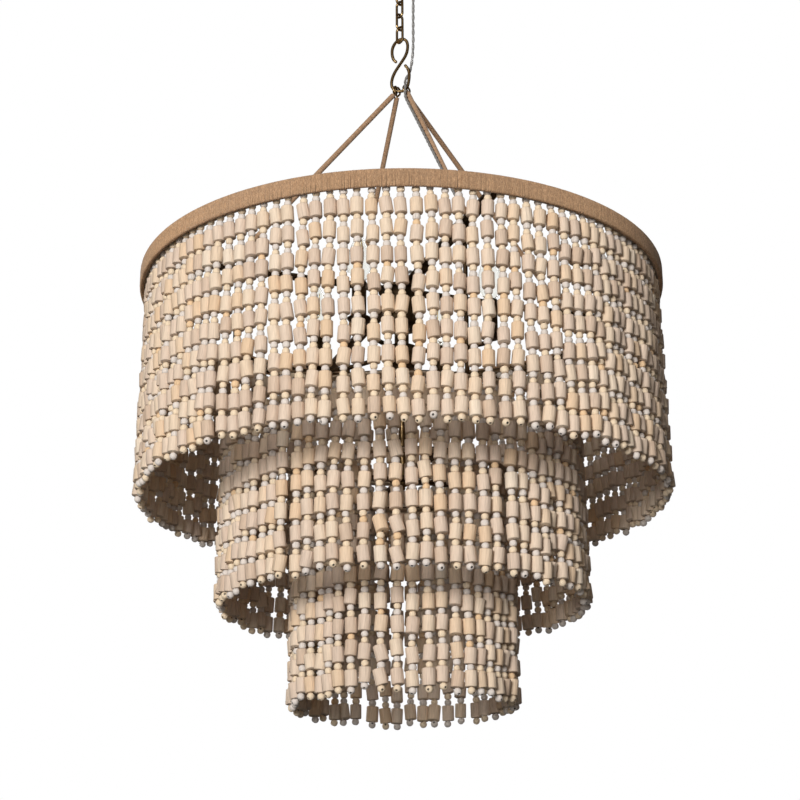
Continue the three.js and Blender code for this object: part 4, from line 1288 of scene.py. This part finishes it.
for k, label in enumerate(["Cylinder bead", "Round bead", "End bead"]):
    one = add(tree, "GeometryNodeObjectInfo", {"Object": given[label]}, transform_space="ORIGINAL")
    same_kind = {2: kind.outputs["Attribute"], 3: k}
    chosen = add(tree, "FunctionNodeCompare", same_kind, data_type="INT", operation="EQUAL")
    placed = add(
        tree,
        "GeometryNodeInstanceOnPoints",
        {
            "Points": marked.outputs[0],
            "Selection": chosen.outputs[0],
            "Instance": one.outputs["Geometry"],
            "Rotation": turned_to.outputs["Attribute"],
            "Scale": size.outputs[0],
        },
    )
    tree.links.new(placed.outputs[0], joined.inputs[0])
line = add(tree, "GeometryNodeMeshToCurve", {"Mesh": marked.outputs[0]})
thread_round = {"Resolution": 5, "Radius": given["Thread radius"]}
round_line = add(tree, "GeometryNodeCurvePrimitiveCircle", thread_round, mode="RADIUS")
spun = add(
    tree,
    "GeometryNodeCurveToMesh",
    {"Curve": line.outputs[0], "Profile Curve": round_line.outputs["Curve"], "Fill Caps": True},
)
thread = add(
    tree,
    "GeometryNodeStoreNamedAttribute",
    {"Geometry": spun.outputs[0], "Name": "is_thread", "Value": True},
    data_type="BOOLEAN",
    domain="FACE",
)
tree.links.new(thread.outputs[0], joined.inputs[0])
real = add(tree, "GeometryNodeRealizeInstances", {"Geometry": joined.outputs[0]})
wooden = add(tree, "GeometryNodeSetMaterial", {"Geometry": real.outputs[0], "Material": given["Wood"]})
is_thread = add(tree, "GeometryNodeInputNamedAttribute", {"Name": "is_thread"}, data_type="BOOLEAN")
finished = add(
    tree,
    "GeometryNodeSetMaterial",
    {
        "Geometry": wooden.outputs[0],
        "Selection": is_thread.outputs["Attribute"],
        "Material": given["Thread"],
    },
)
add(tree, "NodeGroupOutput", {0: finished.outputs[0]})


def spread_strands(rng, count, radius):
    """Sideways offsets of a ring of strands at each level: they gather in clumps and never overlap."""
    steps = rng.normal(0, 1, (strand_levels, count))
    steps = steps + 0.5 * np.roll(steps, 1, 1) + 0.5 * np.roll(steps, -1, 1)
    kinks = rng.normal(0, kink_spread, (strand_levels, count))
    offsets = np.cumsum(steps, axis=0) * sideways_drift / math.sqrt(1.5 * strand_levels) + kinks
    offsets = offsets + rng.normal(0, sideways_spread, count)
    pitch = 2 * math.pi * radius / count
    for _ in range(push_rounds):
        apart = pitch + np.roll(offsets, -1, 1) - offsets
        push = np.maximum(bead_clearance - apart, 0) / 2
        offsets = offsets - push + np.roll(push, 1, 1)
    return offsets


def one_strand(rng, cylinders, swapped):
    """The strand's beads from its top, each as its kind, shade and length."""

    def balls(shades):
        return [(ball_kind, shade, ball_length + rng.normal(0, ball_spread)) for shade in shades]

    beads = balls([(white, natural), (natural, white)][rng.integers(2)])
    for i in range(cylinders):
        if i and (cylinders - i + 1 + swapped) % 2:
            pair = rng.choice(3, p=[0.9, 0.05, 0.05])
            shades = [(white, natural), (natural, orange), (white, orange)][pair]
            beads += balls(shades[:: rng.choice([1, -1])])
        elif i:
            beads += balls([rng.choice([white, natural, orange], p=[0.5, 0.44, 0.06])])
        beads.append((cylinder_kind, 0.0, cylinder_length + rng.normal(0, cylinder_spread)))
    beads.append((end_kind, rng.choice([white, natural]), ball_length))
    return beads


for seed, (tier, (radius, per_quarter, cylinders, top, slack, closeness)) in enumerate(tiers.items()):
    rng = np.random.default_rng(700 + seed)
    count = per_quarter * 4
    strands = [one_strand(rng, cylinders, rng.random() < swapped_shares[tier]) for _ in range(count)]
    drop = closeness * sum(length for _, _, length in strands[0])
    offsets = spread_strands(rng, count, radius)
    depths = np.cumsum(rng.normal(0, kink_spread, (strand_levels, count)), axis=0)
    depths += rng.normal(0, depth_spread, count)
    depths += flares[tier] * np.linspace(0, 1, strand_levels)[:, None] ** flare_growth
    lowered = np.clip(rng.normal(0, level_spread, count), -most_lowered, 0)
    for quarter, side in enumerate(directions):
        points, kinds, colours, turns, sizes, edges = [], [], [], [], [], []
        for strand in range(quarter * per_quarter, (quarter + 1) * per_quarter):
            azimuth = (strand + 0.5 - per_quarter / 2) * 2 * math.pi / count
            toward = np.array([math.sin(azimuth), -math.cos(azimuth)])
            right = np.array([math.cos(azimuth), math.sin(azimuth)])
            height = top - sewing_gap - slack + lowered[strand]
            points.append(around(radius, azimuth, top + tape_height / 2))
            kinds.append(knot_kind)
            colours.append(0.0)
            turns.append((0, 0, 0))
            sizes.append(1.0)
            for kind, shade, own_length in strands[strand]:
                length = own_length * closeness
                middle = height - length / 2
                level = min(max((top - middle) / (drop + level_margin), 0), 1) * (strand_levels - 1)
                low = min(int(level), strand_levels - 2)
                part = level - low
                aside = offsets[low, strand] * (1 - part) + offsets[low + 1, strand] * part
                out = depths[low, strand] * (1 - part) + depths[low + 1, strand] * part
                edges.append((len(points) - 1, len(points)))
                points.append(around(radius + out, azimuth + aside / radius, middle))
                lean = rng.normal(0, top_lean + added_lean * level / strand_levels, 2)
                spin = rng.uniform(0, 2 * math.pi)
                if kind == end_kind:
                    face_out = rng.uniform(*end_turned_out)
                    turns.append((0, -face_out, azimuth - math.pi / 2 + rng.normal(0, end_turned_aside)))
                else:
                    step = (offsets[low + 1, strand] - offsets[low, strand]) / (drop / strand_levels)
                    tilt = toward * lean[0] + right * (lean[1] - step)
                    turn_x = tilt[0] * math.sin(spin) - tilt[1] * math.cos(spin)
                    turn_y = tilt[0] * math.cos(spin) + tilt[1] * math.sin(spin)
                    turns.append((turn_x, turn_y, spin))
                kinds.append(kind)
                colours.append(shade)
                sizes.append(length / (cylinder_length if kind == cylinder_kind else ball_length))
                height -= length
        piece = grown(
            f"{tier}_strands_{side}",
            bead_strands,
            points,
            {
                "bead_kind": ("INT", np.array(kinds, np.int32)),
                "bead_colour": ("FLOAT", np.array(colours, np.float32)),
                "bead_turn": ("FLOAT_VECTOR", np.array(turns, np.float32)),
                "bead_size": ("FLOAT", np.array(sizes, np.float32)),
            },
            {
                "Cylinder bead": cylinder_bead,
                "Round bead": ball_bead,
                "End bead": end_bead,
                "Bead size": 1.0,
                "Thread radius": thread_radius,
                "Tone seed": 60 + seed * 4 + quarter,
                "Wood": bead_wood,
                "Thread": cotton_thread,
            },
            edges,
        )
        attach(piece, "frame")
        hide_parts(f"{tier}_curtain_{side}")
for prototype in (cylinder_bead, ball_bead, end_bead):
    bpy.data.objects.remove(prototype)


# Floor and lights: a pale floor well below, a large soft lamp far off at the front left, a weak one in front
# and two behind, in a dim room. The camera sees the room as white, also through the bulbs' glass, and the
# floor lighter than it is.
floor_level = -2.4
floor_reach = 6.0
floor_glow = 0.58
daylight = (1, 0.985, 0.965)
pale_floor, tree, surface = finish_of("pale_floor", Roughness=0.9)
paths = add(tree, "ShaderNodeLightPath").outputs
colour_by(tree, surface, paths["Is Camera Ray"], (0, 0.12, 0.12, 0.12), (1, 0.42, 0.42, 0.42))
glow = add(tree, "ShaderNodeMath", {0: paths["Is Camera Ray"], 1: floor_glow}, operation="MULTIPLY")
surface.inputs["Emission Color"].default_value = (1, 1, 1, 1)
tree.links.new(glow.outputs[0], surface.inputs["Emission Strength"])
corners = [(x * floor_reach, y * floor_reach, floor_level) for x, y in ((-1, -1), (1, -1), (1, 1), (-1, 1))]
floor = new_piece("floor", corners, [(0, 1, 2, 3)], pale_floor)

room = bpy.data.worlds.new("room")
bpy.context.scene.world = room
room.use_nodes = True
tree = room.node_tree
tree.nodes.clear()
paths = add(tree, "ShaderNodeLightPath").outputs
seen_rays = {0: paths["Is Camera Ray"], 1: paths["Is Transmission Ray"]}
seen = add(tree, "ShaderNodeMath", seen_rays, operation="MAXIMUM")
above = add(tree, "ShaderNodeSeparateXYZ", {"Vector": add(tree, "ShaderNodeTexCoord").outputs["Generated"]})
dim = colour_steps(tree, above.outputs["Z"], (0.0, 0.018, 0.011, 0.005), (0.4, 0.085, 0.066, 0.049))
shade = add(tree, "ShaderNodeMix", {0: seen.outputs[0], "A": dim, "B": (1, 1, 1, 1)}, data_type="RGBA")
ambient = add(tree, "ShaderNodeBackground", {"Color": shade.outputs["Result"]})
add(tree, "ShaderNodeOutputWorld", {"Surface": ambient.outputs[0]})


def soft_lamp(name, place, aim, width, power):
    """A round lamp at that place, turned to the aim."""
    lamp = bpy.data.lights.new(name, "AREA")
    lamp.shape = "DISK"
    lamp.size = width
    lamp.energy = power
    lamp.color = daylight
    hung = bpy.data.objects.new(name, lamp)
    toward = (Vector(aim) - Vector(place)).to_track_quat("-Z", "Y")
    hung.matrix_world = Matrix.Translation(place) @ toward.to_matrix().to_4x4()
    bpy.context.scene.collection.objects.link(hung)


soft_lamp("key_lamp", (-1.72, -5.46, -0.6), (0, 0, -0.9), 2.0, 312)
soft_lamp("low_lamp", (-0.1, -2.7, -1.2), (0, 0, -1.05), 1.0, 6)
soft_lamp("back_lamp_right", (3.3, 5.0, -0.2), (0, 0, -0.8), 2.0, 85)
soft_lamp("back_lamp_left", (-3.3, 5.0, -0.2), (0, 0, -0.8), 2.0, 85)

bpy.context.scene.view_settings.view_transform = "Standard"
